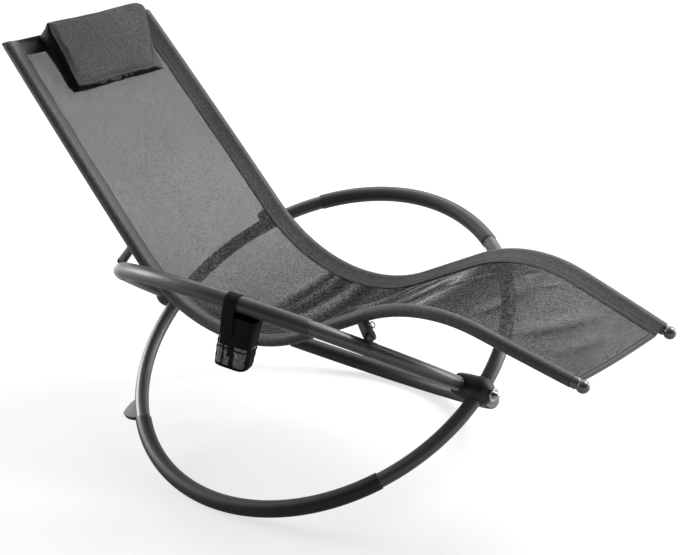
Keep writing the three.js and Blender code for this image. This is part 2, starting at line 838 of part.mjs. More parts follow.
function panelRows(path, below) {
  return path.map((station) => {
    const open = railHalf(station.x) - flapAt(station);
    const edge = open + panelTuck;
    const shares = Array.from({ length: panelColumns - 1 }, (_, j) => (2 * j) / (panelColumns - 2) - 1);
    const places = [-edge, ...shares.map((share) => share * open), edge];
    return places.map((y) => railPoint(station, 1, railHalf(station.x) - y, panelLift(station, y) - below));
  });
}

// Extra stations halfway along each span, so that creases show.
function refined(path) {
  return path.flatMap((station, i) => {
    const next = path[i + 1];
    if (!next) {
      return [station];
    }
    const half = (key) => (station[key] + next[key]) / 2;
    return [station, { x: half('x'), z: half('z'), slope: half('slope') }];
  });
}

function clothStrip(start, end, thickness) {
  const path = refined(between(start, end));
  return sheet(panelRows(path, 0), panelRows(path, thickness));
}

function buildCloth() {
  const headEnd = inFrom(headStation, hemHeadInset + headHemDepth);
  const footEnd = inFrom(footStation, hemFootInset + footHemDepth);
  const panelStart = inFrom(headStation, hemHeadInset + headHemDepth + sewGap);
  const panelEnd = inFrom(footStation, hemFootInset + footHemDepth + sewGap);
  piece('seat_panel', clothStrip(panelStart, panelEnd, panelThickness), meshFinish);
  piece('head_hem', clothStrip(hemStart, headEnd, endHemThickness), hemFinish);
  piece('foot_hem', clothStrip(footEnd, hemEnd, endHemThickness), hemFinish);
}

// The pillow: rounded square rings that follow the panel below and rise to a crowned top.
function buildPillow() {
  const rings = pillowRingShares.map(([inset, share]) => {
    const halfLength = pillow.length / 2 - inset * pillow.edgeInset;
    const halfWidth = pillow.width / 2 - inset * pillow.edgeInset;
    return Array.from({ length: pillow.points }, (_, i) => {
      const angle = (2 * Math.PI * i) / pillow.points;
      const bow = (value) => Math.sign(value) * Math.abs(value) ** (2 / pillow.squareness);
      const down = pillow.length / 2 - pillow.overhang + halfLength * bow(Math.cos(angle));
      const y = halfWidth * bow(Math.sin(angle));
      const station = inFrom(headStation, down);
      const position = (down + pillow.overhang) / pillow.length;
      const thickness = THREE.MathUtils.lerp(pillow.headThickness, pillow.lowThickness, position);
      const base = panelLift(inFrom(headStation, Math.max(down, hemHeadInset)), y) + pillow.clearance;
      return railPoint(station, 1, railHalf(station.x) - y, base + thickness * share);
    });
  });
  piece('head_pillow', loft(rings), pillowFinish);
}

// Side pouch: local X runs along the armrest, local Z points down and square to it.
function buildPouch() {
  const group = new THREE.Group();
  const place = onHoop(pouch.angle, 0, 0).applyMatrix4(hoopMatrix(-1));
  const ahead = onHoop(pouch.angle + armStep, 0, 0).applyMatrix4(hoopMatrix(-1));
  const behind = onHoop(pouch.angle - armStep, 0, 0).applyMatrix4(hoopMatrix(-1));
  const along = new THREE.Vector3().subVectors(ahead, behind).normalize();
  const down = new THREE.Vector3(0, 0, -1).addScaledVector(along, along.z).normalize();
  const across = new THREE.Vector3().crossVectors(down, along);
  const matrix = new THREE.Matrix4().makeBasis(along, across, down).setPosition(place);
  group.applyMatrix4(matrix);
  chair.add(group);
  const box = (length, width, top, bottom, grow) => {
    const layer = (z, extra) => {
      const a = length / 2 + extra;
      const b = width / 2 + extra;
      const corners = [[a, -b], [a, b], [-a, b], [-a, -b]];
      return corners.map(([x, y]) => new THREE.Vector3(x - pouch.shift, y, z));
    };
    return loft([layer(top, grow), layer(bottom, 0)]);
  };
  const floor = pouch.top + pouch.depth;
  const shell = solid(box(pouch.length, pouch.width, pouch.top, floor, pouch.flare));
  const inside = box(pouch.length - 2 * pouch.wall, pouch.width - 2 * pouch.wall,
    pouch.top - pouch.wall, floor - pouch.wall, pouch.flare);
  piece('pouch_body', shaped(cut(shell, [inside])), pouchFinish, group);
  const halfStrap = pouch.strapWidth / 2;
  const thickness = pouch.strapThickness;
  const outer = pouch.strapRadius + thickness;
  const onAxis = (x) => new THREE.Vector3(x, 0, 0);
  const loop = cylinderAlong(onAxis(-halfStrap), onAxis(halfStrap), outer, strapSides);
  const wallY = -pouch.width / 2 - pouch.flare - fitGap - thickness / 2;
  const tail = new THREE.BoxGeometry(pouch.strapWidth, thickness, pouch.strapDrop + thickness);
  tail.translate(0, wallY, pouch.top + (pouch.strapDrop - thickness) / 2);
  const bridgeEnd = (x) => [
    new THREE.Vector3(x, -outer, 0),
    new THREE.Vector3(x, -pouch.strapRadius, 0),
    new THREE.Vector3(x, wallY + thickness / 2, pouch.top - 2 * fitGap),
    new THREE.Vector3(x, wallY - thickness / 2, pouch.top - 2 * fitGap),
  ];
  const strap = joined([loop, tail, loft([bridgeEnd(-halfStrap), bridgeEnd(halfStrap)])]);
  const armRoom = cylinderAlong(onAxis(-2 * outer), onAxis(2 * outer), pouch.strapRadius, strapSides);
  piece('pouch_strap', shaped(cut(strap, [armRoom])), pouchFinish, group);
}

// The whole chair

for (const [name, hoop] of Object.entries(hoops)) {
  buildHoop(name, hoop);
  const { side } = hoop;
  piece(`${name}_rail_tube`, railTube(side, railRadius, railRadius - tubeWall), railFinish);
  for (const end of Object.keys(strutAngles)) {
    piece(`${name}_${end}_lug`, lug(side, end), hoopFinish);
    piece(`${name}_${end}_rivet`, rivet(side, end), zincFinish);
    piece(`${name}_${end}_strut`, strut(side, end), railFinish);
  }
  piece(`${name}_foot_cap`, railCap(side, footStation, endCap.footRadius), plasticFinish);
  piece(`${name}_head_cap`, railCap(side, headStation, endCap.headRadius), plasticFinish);
  piece(`${name}_side_hem`, sideHem(side), hemFinish);
  const lock = lockPin(side);
  piece(`${name}_lock_pin`, lock.pin, zincFinish);
  piece(`${name}_pin_ring`, lock.ring, zincFinish);
}
pivotSet('front', 1);
pivotSet('rear', -1);
buildCloth();
buildPillow();
buildPouch();

// The chair stands on z = 0 with its middle over the origin.
chair.updateMatrixWorld(true);
const bounds = new THREE.Box3().setFromObject(chair, true);
const centre = bounds.getCenter(new THREE.Vector3());
chair.position.set(-centre.x, -centre.y, -bounds.min.z);

export default chair;
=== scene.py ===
import json
import math

import bpy
from mathutils import Matrix, Vector, noise
from mathutils.bvhtree import BVHTree


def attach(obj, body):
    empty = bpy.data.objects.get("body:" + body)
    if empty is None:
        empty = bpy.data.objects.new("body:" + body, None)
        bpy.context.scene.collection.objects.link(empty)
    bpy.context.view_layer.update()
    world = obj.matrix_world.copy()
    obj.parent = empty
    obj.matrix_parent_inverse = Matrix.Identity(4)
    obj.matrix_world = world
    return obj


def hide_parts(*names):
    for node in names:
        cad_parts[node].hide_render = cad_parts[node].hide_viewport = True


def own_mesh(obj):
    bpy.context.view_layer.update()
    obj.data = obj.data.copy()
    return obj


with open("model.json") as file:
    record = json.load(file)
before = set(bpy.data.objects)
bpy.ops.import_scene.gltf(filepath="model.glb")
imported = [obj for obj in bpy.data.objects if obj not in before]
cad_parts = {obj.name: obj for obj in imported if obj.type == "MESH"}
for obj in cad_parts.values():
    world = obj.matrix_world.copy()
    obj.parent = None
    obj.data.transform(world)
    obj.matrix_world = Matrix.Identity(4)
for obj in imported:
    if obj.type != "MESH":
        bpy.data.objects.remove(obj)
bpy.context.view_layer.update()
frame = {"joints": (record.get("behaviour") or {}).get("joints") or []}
joints = {joint["name"]: joint for joint in frame["joints"]}
axle = Vector(joints["right_hoop_fold"]["pos_m"])
sides = {"right": -1, "left": 1}
across = Vector((0, 1, 0))
degree = math.pi / 180


# Modelling tools

def only(piece):
    bpy.ops.object.select_all(action="DESELECT")
    piece.select_set(True)
    bpy.context.view_layer.objects.active = piece


def added(kind, name, **settings):
    bpy.ops.object.select_all(action="DESELECT")
    getattr(bpy.ops.mesh, "primitive_" + kind + "_add")(**settings)
    piece = bpy.context.active_object
    piece.name = name
    piece.data.name = name
    bpy.ops.object.transform_apply(location=True, rotation=True, scale=True)
    return piece


def inEdit(piece, *steps):
    only(piece)
    bpy.ops.object.mode_set(mode="EDIT")
    bpy.ops.mesh.select_all(action="SELECT")
    for step, settings in steps:
        step(**settings)
    bpy.ops.object.mode_set(mode="OBJECT")


def outward(piece, merge=None):
    steps = [(bpy.ops.mesh.normals_make_consistent, {"inside": False})]
    if merge:
        steps.insert(0, (bpy.ops.mesh.remove_doubles, {"threshold": merge}))
    inEdit(piece, *steps)
    return piece


def smooth(piece, angle=35):
    only(piece)
    bpy.ops.object.shade_smooth_by_angle(angle=angle * degree)
    return piece


def modified(piece, kind, **settings):
    modifier = piece.modifiers.new(kind.title(), kind)
    for key, value in settings.items():
        setattr(modifier, key, value)
    only(piece)
    bpy.ops.object.modifier_apply(modifier=modifier.name)
    return piece


def bevelled(piece, width, segments=2, angle=50):
    return modified(piece, "BEVEL", width=width, segments=segments, limit_method="ANGLE", angle_limit=angle * degree)


# The tool is used up.
def carved(piece, tool, operation):
    modified(piece, "BOOLEAN", object=tool, operation=operation, solver="EXACT")
    bpy.data.objects.remove(tool)


# Open ends are closed with flat faces.
def capped(piece):
    inEdit(piece, (bpy.ops.mesh.fill_holes, {"sides": 0}))
    return smooth(outward(piece))


def joined(pieces, name):
    only(pieces[0])
    for piece in pieces:
        piece.select_set(True)
    bpy.ops.object.join()
    pieces[0].name = name
    pieces[0].data.name = name
    return pieces[0]


def boxed(name, size, centre):
    piece = added("cube", name, size=1, location=centre)
    inEdit(piece, (bpy.ops.transform.resize, {"value": size, "center_override": centre}))
    return piece


# A grid wrapped over rows of stations: place gives the point of a row at a share of its width.
def wrapped(name, columns, rows, place, closed=True, lay=None):
    last = len(rows) - 1
    piece = added("grid", name, x_subdivisions=columns, y_subdivisions=last, size=2)
    mesh = piece.data
    shares = [((vertex.co.x + 1) / 2, round((vertex.co.y + 1) / 2 * last)) for vertex in mesh.vertices]
    for vertex, (share, row) in zip(mesh.vertices, shares):
        vertex.co = place(rows[row], share)
    if lay:
        uvs = mesh.uv_layers.active.data
        for loop in mesh.loops:
            share, row = shares[loop.vertex_index]
            uvs[loop.index].uv = lay(rows[row], share)
    return smooth(outward(piece, 1e-6 if closed else None))


# A profile of (radius, distance along the axis), drawn vertex by vertex and spun round the axis.
def turned(name, profile, centre, axis, steps=48, angle=35):
    axis = axis.normalized()
    arm = axis.orthogonal().normalized()
    points = [centre + arm * radius + axis * along for radius, along in profile]
    piece = added("plane", name, size=0.001, location=points[0], calc_uvs=False)
    strokes = [(bpy.ops.mesh.extrude_vertices_move, {"TRANSFORM_OT_translate": {"value": there - here}})
               for here, there in zip(points, points[1:])]
    inEdit(
        piece,
        (bpy.ops.mesh.merge, {"type": "CENTER"}),
        *strokes,
        (bpy.ops.mesh.select_all, {"action": "SELECT"}),
        (bpy.ops.mesh.spin, {"steps": steps, "angle": 2 * math.pi, "center": centre, "axis": axis}),
    )
    return smooth(outward(piece, 1e-5), angle)


# Copies of one small piece, each with its own mesh at its own place, joined in one.
def repeated(name, base, places):
    copies = []
    for place in places:
        copy = bpy.data.objects.new(name, base.data.copy())
        copy.matrix_world = place
        bpy.context.scene.collection.objects.link(copy)
        copies.append(copy)
    whole = joined(copies, name)
    bpy.ops.object.transform_apply(location=True, rotation=True, scale=True)
    return smooth(whole)


def finished(piece, body, finish, replaces=()):
    piece.data.materials.clear()
    piece.data.materials.append(materials[finish])
    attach(piece, body)
    if replaces:
        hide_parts(*replaces)
    return piece


# Material tools: a Value is a socket that takes part in Python sums.

class Value:
    def __init__(self, shader, socket):
        self.shader = shader
        self.socket = socket

    def maths(self, operation, other=0.0):
        return self.shader.node("Math", {0: self, 1: other}, operation=operation)

    def __add__(self, other):
        return self.maths("ADD", other)

    def __sub__(self, other):
        return self.maths("SUBTRACT", other)

    def __rsub__(self, other):
        return self.shader.node("Math", {0: other, 1: self}, operation="SUBTRACT")

    def __mul__(self, other):
        return self.maths("MULTIPLY", other)

    __radd__ = __add__
    __rmul__ = __mul__


class Shader:
    def __init__(self, owner, surface="Principled BSDF", **uniform):
        owner.use_nodes = True
        self.owner = owner
        self.tree = owner.node_tree
        self.surface = self.tree.nodes[surface]
        self.give(**uniform)

    def node(self, kind, inputs=None, output=0, **settings):
        made = self.tree.nodes.new("ShaderNode" + kind)
        for key, value in settings.items():
            setattr(made, key, value)
        for key, value in (inputs or {}).items():
            self.feed(made.inputs[key], value)
        return Value(self, made.outputs[output])

    def feed(self, socket, value):
        if isinstance(value, Value):
            self.tree.links.new(value.socket, socket)
        else:
            socket.default_value = value

    def give(self, **inputs):
        for key, value in inputs.items():
            self.feed(self.surface.inputs[key.replace("_", " ")], value)
        return self.owner

    def place(self, which="Object"):
        return self.node("TexCoord", output=which)

    def ray(self, kind):
        return self.node("LightPath", output="Is " + kind + " Ray")

    def noise(self, scale, detail=3.0, roughness=0.5):
        inputs = {"Vector": self.place(), "Scale": scale, "Detail": detail, "Roughness": roughness}
        return self.node("TexNoise", inputs)

    def ramp(self, value, low, high, fromLow=0.0, fromHigh=1.0, shape="SMOOTHSTEP"):
        inputs = {"Value": value, "From Min": fromLow, "From Max": fromHigh, "To Min": low, "To Max": high}
        return self.node("MapRange", inputs, interpolation_type=shape)

    def mixed(self, share, first, second):
        return self.node("Mix", {0: share, 6: first, 7: second}, 2, data_type="RGBA")

    def bump(self, height, distance, strength=1.0):
        return self.node("Bump", {"Height": height, "Distance": distance, "Strength": strength})

    def split(self, vector):
        parts = self.node("SeparateXYZ", {0: vector}).socket.node
        return [Value(self, socket) for socket in parts.outputs]


def material(name, **uniform):
    return Shader(bpy.data.materials.new(name), **uniform)


def grey(level):
    return (level, level, level * 1.02, 1)


# Satin powder coat: fine orange peel, faint dust and small changes in gloss.
def paint(name, level, roughness):
    shader = material(name, Coat_Weight=0.5, Coat_Roughness=0.3, Specular_IOR_Level=0.75)
    peel = shader.noise(1400.0, 2.0)
    cloud = shader.noise(9.0, 4.0)
    speck = shader.ramp(shader.noise(420.0, 1.0), 0.0, 1.0, 0.66, 0.74)
    colour = shader.mixed(cloud, grey(level * 0.8), grey(level * 1.25))
    colour = shader.mixed(speck * 0.25, colour, grey(level * 2.2))
    gloss = shader.ramp(cloud, roughness - 0.05, roughness + 0.06)
    return shader.give(Base_Color=colour, Roughness=gloss, Normal=shader.bump(peel, 0.00004, 0.5))


# Moulded plastic: fine spark-eroded grain, with a little wear on it.
def plastic(name, level, roughness, grain=900.0, depth=0.00005, shine=0.5, coat=0.0):
    shader = material(name, Specular_IOR_Level=shine, Coat_Weight=coat, Coat_Roughness=0.2)
    fine = shader.noise(grain, 3.0)
    cloud = shader.noise(26.0, 3.0)
    colour = shader.mixed(cloud, grey(level * 0.85), grey(level * 1.2))
    gloss = shader.ramp(cloud, roughness - 0.04, roughness + 0.08)
    return shader.give(Base_Color=colour, Roughness=gloss, Normal=shader.bump(fine, depth, 0.6))


# Bright zinc plate, faintly stained.
def zinc():
    shader = material("zincPlate", Metallic=1.0)
    stain = shader.noise(150.0, 4.0)
    scratch = shader.noise(900.0, 2.0)
    colour = shader.mixed(stain, grey(0.72), grey(0.5))
    gloss = shader.ramp(stain, 0.16, 0.32)
    return shader.give(Base_Color=colour, Roughness=gloss, Normal=shader.bump(scratch, 0.00002, 0.4))


# Plain weave in the sheet's own lengths: a mask of open holes and the height of the crossing yarns.
def weave(shader, pitch, cover):
    u, v, _ = shader.split(shader.place("UV"))
    cells = [u * (1 / pitch), v * (1 / pitch)]
    offsets = [(cell.maths("FRACT") - 0.5).maths("ABSOLUTE") * 2 for cell in cells]
    warp, weft = [offset.maths("LESS_THAN", cover) for offset in offsets]
    crowns = [1 - offset * offset for offset in offsets]
    turn = (cells[0].maths("FLOOR") + cells[1].maths("FLOOR")).maths("MODULO", 2.0).maths("ABSOLUTE")
    over = crowns[0] * warp * (0.5 + turn * 0.5)
    under = crowns[1] * weft * (1 - turn * 0.5)
    return warp.maths("MAXIMUM", weft), over.maths("MAXIMUM", under)


# Where the cloth is drawn together across the seat, its weave closes and its colour is darkened as painted shade of the
# folds: one mask from several bands.
def foldShadeMask(shader, foldShadeBands):
    u, v, _ = shader.split(shader.place("UV"))
    whole = None
    for middle, start, width, strength in foldShadeBands:
        band = shader.ramp((v - middle).maths("ABSOLUTE"), strength, 0.0, 0.0, width)
        band = band * shader.ramp(u, 0.0, 1.0, start - 0.07, start + 0.02)
        whole = whole.maths("MAXIMUM", band) if whole else band
    return whole


def cloth(name, level, pitch=0.0013, cover=0.62, openHoles=False, sheen=0.05, depth=0.0003, variety=0.22,
          speckle=0.1, shine=0.12, roughness=0.62, foldShadeBands=()):
    shader = material(name, Roughness=roughness, Specular_IOR_Level=shine, Sheen_Weight=sheen, Sheen_Roughness=0.5)
    if foldShadeBands:
        closed = foldShadeMask(shader, foldShadeBands)
        # Painted shade: inside the bands the cloth's colour is darkened, as in the shade of folds.
        level = level - closed * (0.55 * level)
        cover = closed * 0.55 + cover
    yarn, height = weave(shader, pitch, cover)
    slub = shader.noise(260.0, 2.0)
    cloud = shader.noise(7.0, 4.0)
    tone = shader.ramp(cloud * 0.6 + slub * 0.4, 1 - variety, 1 + variety, 0.3, 0.7)
    # Painted shade: the yarn crowns are lighter and the dips between the yarns darker.
    yarnShade = height * 0.5 + 0.65
    grain = shader.ramp(shader.noise(210.0, 1.0), 1 - speckle, 1 + speckle, 0.36, 0.64)
    shade = tone * yarnShade * grain * level
    colour = shader.node("CombineColor", {0: shade, 1: shade, 2: shade * 1.02})
    if openHoles:
        shader.give(Alpha=yarn)
    return shader.give(Base_Color=colour, Normal=shader.bump(height, depth, 0.8))


# Clear vinyl that has creased in use: painted glints, pale grey in the colour along the crease ridges, on dark, with
# cloudy patches.
def vinyl():
    shader = material("creasedVinyl", Specular_IOR_Level=0.8, Coat_Weight=0.6, Coat_Roughness=0.08)
    crease = shader.noise(170.0, 5.0, roughness=0.7)
    cloud = shader.noise(75.0, 3.0)
    # Painted highlight: the crease ridges are made pale in the colour.
    paintedGlint = shader.ramp(crease, 0.0, 1.0, 0.5, 0.64)
    colour = shader.mixed(cloud, grey(0.02), grey(0.09))
    colour = shader.mixed(paintedGlint * 0.7, colour, grey(0.42))
    gloss = shader.ramp(cloud, 0.12, 0.3)
    return shader.give(Base_Color=colour, Roughness=gloss, Normal=shader.bump(crease, 0.003, 0.9))


# The painted shade bands in the seat bend, where the weave also closes: place down the rails, where they start across,
# width and strength.
seatFoldShade = [(0.789, 0.04, 0.02, 0.5), (0.827, -0.02, 0.032, 0.68), (0.892, -0.04, 0.034, 0.68)]
materials = {
    "hoop": paint("hoopPaint", 0.057, 0.4),
    "rail": paint("railPaint", 0.042, 0.42),
    "armSleeve": plastic("armSleevePlastic", 0.05, 0.42, 700.0, 0.00003, 0.5, 0.15),
    "rockerSleeve": plastic("rockerSleevePlastic", 0.016, 0.45, 700.0, 0.00003, 0.45, 0.1),
    "hub": plastic("hubPlastic", 0.012, 0.46),
    "cap": plastic("capPlastic", 0.03, 0.3, 500.0, 0.00002, 0.9, 0.8),
    "foot": plastic("footPlastic", 0.36, 0.6),
    "zinc": zinc(),
    "mesh": cloth("meshCloth", 0.064, 0.0022, 0.5, openHoles=True, sheen=0.0, variety=0.2, speckle=0.6,
                  shine=0.03, foldShadeBands=seatFoldShade),
    "hem": cloth("hemCloth", 0.083, 0.0018, 0.8, depth=0.0002, speckle=0.2, shine=0.4, roughness=0.5),
    "endHem": cloth("endHemCloth", 0.058, 0.0018, 0.8, depth=0.0002, speckle=0.2, shine=0.3, roughness=0.5),
    "pillow": cloth("pillowCloth", 0.12, 0.0014, 0.85, depth=0.00015, speckle=0.2),
    "gusset": cloth("gussetCloth", 0.01, 0.0014, 0.85, depth=0.00015, sheen=0.0),
    "piping": cloth("pipingCloth", 0.11, 0.0014, 0.85, depth=0.0001),
    "pouch": cloth("pouchCloth", 0.006, 0.0009, 0.85, depth=0.0001, sheen=0.0),
    "vinyl": vinyl(),
    "thread": plastic("sewingThread", 0.008, 0.7, 3000.0, 0.00003, 0.1),
}
print("materials ready")


# Hoops: degrees round a hoop are counted from the front pivot up over the armrest.
hoop = {"radius": 0.42, "lean": 57.4 * degree, "stagger": 0.01865, "tube": 0.0151, "armEnds": (1.6, 178.4),
        "rockerEnds": (-178.4, -1.6)}


def onHoop(side, degrees, out=0.0, off=0.0):
    angle = degrees * degree
    reach = hoop["radius"] + out
    level = reach * math.sin(angle)
    lean = hoop["lean"]
    return axle + Vector((
        side * hoop["stagger"] + reach * math.cos(angle),
        side * level * math.sin(lean) + off * math.cos(lean),
        level * math.cos(lean) - side * off * math.sin(lean),
    ))


def arcDegrees(length):
    return length / hoop["radius"] / degree


# A ring of vertices spun round a hoop, step degrees at a time, through stations of (degrees, radius).
def hoopTube(name, side, stations, step=1):
    centre = axle + Vector((side * hoop["stagger"], 0, 0))
    normal = Vector((0, -math.cos(hoop["lean"]), side * math.sin(hoop["lean"])))
    degrees, radius = stations[0]
    start = onHoop(side, degrees)
    arm = (start - centre).normalized()
    turn = Matrix((arm, normal, arm.cross(normal))).transposed().to_euler()
    piece = added("circle", name, vertices=40, radius=radius, location=start, rotation=turn, calc_uvs=False)
    steps = []
    for (here, wide), (there, wider) in zip(stations, stations[1:]):
        if here == there:
            steps.append((bpy.ops.mesh.extrude_region_move, {}))
        else:
            count = max(1, round(abs(there - here) / step))
            steps.append((bpy.ops.mesh.spin, {"steps": count, "center": centre, "axis": normal,
                                              "angle": (here - there) * degree}))
        if wide != wider:
            steps.append((bpy.ops.transform.resize, {"value": [wider / wide] * 3,
                                                     "center_override": onHoop(side, there)}))
    inEdit(piece, *steps)
    return smooth(outward(piece, 1e-6))


def sleeveStations(start, end, radius, inner, lip=0.0012):
    edge = arcDegrees(lip)
    first = [(start, inner), (start, radius - lip), (start + edge * 0.3, radius - lip * 0.3), (start + edge, radius)]
    last = [(end - edge, radius), (end - edge * 0.3, radius - lip * 0.3), (end, radius - lip), (end, inner)]
    return first + last


armSleeve = {"start": {"right": 51.8, "left": 56.5}, "end": 124.4, "radius": 0.0168}
rockerSleeve = {"start": {"right": -132, "left": -132}, "end": -37.2, "radius": 0.0174}
for name, side in sides.items():
    for label, node, ends in (("ArmTube", "_arm_tube", hoop["armEnds"]),
                              ("RockerTube", "_rocker_tube", hoop["rockerEnds"])):
        tube = hoopTube(name + label, side, [(degrees, hoop["tube"]) for degrees in ends])
        finished(tube, name + "_hoop", "hoop", [name + node])
    for label, node, sleeve in (("ArmSleeve", "_arm_sleeve", armSleeve),
                                ("RockerSleeve", "_rocker_sleeve", rockerSleeve)):
        stations = sleeveStations(sleeve["start"][name], sleeve["end"], sleeve["radius"], hoop["tube"])
        finish = "armSleeve" if sleeve is armSleeve else "rockerSleeve"
        piece = finished(hoopTube(name + label, side, stations), name + "_hoop", finish, [name + node])
        for vertex in piece.data.vertices:  # nothing reaches below the floor
            vertex.co.z = max(vertex.co.z, 0)
print("hoops ready")


# Pivots: a ball hub outside and a plain hub inside, on one bolt with its washers and cap nut.
pivot = {
    "ball": 0.03,
    "waist": 0.0276,
    "plain": 0.0245,
    "face": 0.01845,
    "inset": 0.019,
    "boss": 0.012,
    "bossReach": 0.0315,
    "socket": {"ball": 0.0155, "plain": 0.0178},
    "socketStart": 0.008,
    "socketReach": 0.0225,
}


def ballProfile():
    ball, boss, face, rim = (pivot[key] for key in ("ball", "boss", "face", "waist"))
    start = math.pi / 2 + 0.12
    end = math.asin((boss + 0.002) / ball)
    arc = [start + (end - start) * i / 18 for i in range(1, 19)]
    reach = pivot["bossReach"]
    top = ball * math.cos(end)
    return [
        (0, -face), (rim - 0.0003, -face), (rim, 0.0003 - face), (rim + 0.0008, -0.011),
        *[(ball * math.sin(turn), ball * math.cos(turn)) for turn in arc],
        (boss + 0.0005, top + 0.0012), (boss, top + 0.003), (boss, reach - 0.0012), (boss - 0.0012, reach), (0, reach),
    ]


def plainProfile():
    radius, inset, face, rim = (pivot[key] for key in ("plain", "inset", "face", "waist"))
    return [
        (0, -inset), (radius - 0.004, -inset), (radius - 0.001, 0.001 - inset), (radius, 0.004 - inset),
        (rim - 0.0006, 0.004), (rim, face - 0.0003), (rim - 0.0003, face), (0, face),
    ]


def hubPiece(name, side, out, kind):
    middle = 0 if out > 0 else 180
    profile = ballProfile() if kind == "ball" else plainProfile()
    body = turned(name, profile, onHoop(side, middle), Vector((out, 0, 0)), 64)
    wide = pivot["socket"][kind]
    collars = []
    for way in (1, -1):
        near = middle + way * arcDegrees(pivot["socketStart"])
        far = middle + way * arcDegrees(pivot["socketReach"])
        lip = way * arcDegrees(0.0006)
        stations = [(near, wide), (far - lip, wide), (far, wide - 0.0005), (far, hoop["tube"] - 0.0005)]
        collars.append(hoopTube(name + "Collar", side, stations, 2))
    return joined([body, *collars], name)


# Profiles are (radius, distance out along the spine).
fasteners = {
    "boltHead": [(0, -0.0095), (0.003, -0.0093), (0.0062, -0.0082), (0.0084, -0.0056), (0.0089, -0.0032),
                 (0.0089, -0.0022)],
    "shank": 0.005,
    "shankPast": 0.011,
    "nutHex": [(0.0052, 0.0018), (0.0073, 0.0018), (0.0077, 0.0024), (0.0077, 0.0068), (0.0072, 0.0074),
               (0.0052, 0.0074)],
    "nutDome": [(0.0062, 0.0074), (0.006, 0.0098), (0.005, 0.0116), (0.0029, 0.0128), (0, 0.0132)],
    "washerBore": 0.0052,
    "washerThickness": 0.003,
    "washerEdge": 0.0004,
    "innerWasher": {"rim": 0.011, "back": 0.0019},
    "outerWasher": {"rim": 0.0135, "back": 0.0014},
    "outerGap": 0.0015,
}


def washerProfile(rim):
    bore, thick, edge = (fasteners[key] for key in ("washerBore", "washerThickness", "washerEdge"))
    return [(bore, 0), (rim - edge, 0), (rim, edge), (rim, thick - edge), (rim - edge, thick), (bore, thick), (bore, 0)]


def pivotSet(name, out):
    inner = hoop["radius"] - hoop["stagger"] - pivot["inset"]
    outer = hoop["radius"] + hoop["stagger"] + pivot["bossReach"] + fasteners["outerGap"]
    axis = Vector((out, 0, 0))
    shank, end = fasteners["shank"], outer - inner + fasteners["shankPast"]
    bolt = fasteners["boltHead"] + [(shank, -0.0022), (shank, end), (0, end + 0.001)]
    bolt = turned(name + "PivotBolt", bolt, axle + axis * inner, axis, 32)
    finished(bolt, "spine", "zinc", [name + "_pivot_bolt"])
    nut = turned(name + "NutHex", fasteners["nutHex"], axle + axis * outer, axis, 6, 20)
    dome = turned(name + "NutDome", fasteners["nutDome"], axle + axis * outer, axis, 32)
    finished(joined([nut, dome], name + "CapNut"), "spine", "zinc", [name + "_cap_nut"])
    for label, place in (("Inner", inner), ("Outer", outer)):
        washer = fasteners[label.lower() + "Washer"]
        place = axle + axis * (place - washer["back"])
        piece = turned(name + label + "Washer", washerProfile(washer["rim"]), place, axis, 40)
        finished(piece, "spine", "zinc", [name + "_" + label.lower() + "_washer"])


for name, side in sides.items():
    for label, out in (("Front", 1), ("Rear", -1)):
        kind = "ball" if side == out else "plain"
        hub = hubPiece(name + label + "Hub", side, out, kind)
        finished(hub, name + "_hoop", "hub", [name + "_" + label.lower() + "_hub"])
pivotSet("front", 1)
pivotSet("rear", -1)
print("pivots ready")


# Rails: distance is counted down the rail from the head.
rail = {
    "radius": 0.011,
    "bore": 0.008,
    "slopes": [-45.88 * degree, 26.96 * degree, -15.86 * degree],
    "rearStand": 0.06,
    "frontStand": 0.04963,
    "backReach": 0.5423,
    "kneeLead": 0.0216,
    "bends": [0.3785, 0.3543],
    "foot": 0.205,
    "outset": 0.011,
    "footSpread": 0.1535,
    "widest": -0.264,
}
strut = {
    "front": 35,
    "rear": 145,
    "rise": 0.027,
    "radius": 0.01,
    "rearSlimming": (0.8, 0.9),
    "slot": (0.0062, 0.04, 0.0225),
    # the rounded foot: along the strut, half width, half depth
    "foot": [(-0.0106, 0.001, 0.0095), (-0.0102, 0.0038, 0.0101), (-0.0086, 0.0068, 0.0103), (-0.006, 0.0092, 0.0104),
             (-0.003, 0.0106, 0.0104), (0.001, 0.0112, 0.0104), (0.014, 0.0112, 0.0104), (0.02, 0.011, 0.0103)],
    "top": (0.0108, 0.0102),
    "topShort": 0.012,
}


def hingePoint(side, end):
    return onHoop(side, strut[end]) + Vector((0, 0, strut["rise"]))


def heading(slope):
    return Vector((math.cos(slope), math.sin(slope)))


def railSpans():
    back, thigh, foot = rail["slopes"]
    hinge = hingePoint(1, "front") - axle
    reach = hinge.x - hoop["stagger"]

    def standing(x, slope, stand):
        return Vector((x - math.sin(slope) * stand, hinge.z + math.cos(slope) * stand))

    backPoint = standing(-reach, back, rail["rearStand"])
    span = standing(reach, thigh, rail["frontStand"]) - backPoint
    turn = thigh - back
    tangent = rail["bends"][0] * math.tan(turn / 2)
    backLength = rail["backReach"] + (span.x * heading(thigh).y - span.y * heading(thigh).x) / math.sin(turn) - tangent
    thighLength = (heading(back).x * span.y - heading(back).y * span.x) / math.sin(turn) - rail["kneeLead"] - tangent
    head = backPoint - heading(back) * rail["backReach"]
    spans = [
        ("straight", backLength, back, back),
        ("bend", rail["bends"][0] * turn, back, thigh),
        ("straight", thighLength, thigh, thigh),
        ("bend", rail["bends"][1] * (thigh - foot), thigh, foot),
        ("straight", rail["foot"], foot, foot),
    ]
    return head, spans


railHead, spans = railSpans()
railLength = sum(span[1] for span in spans)


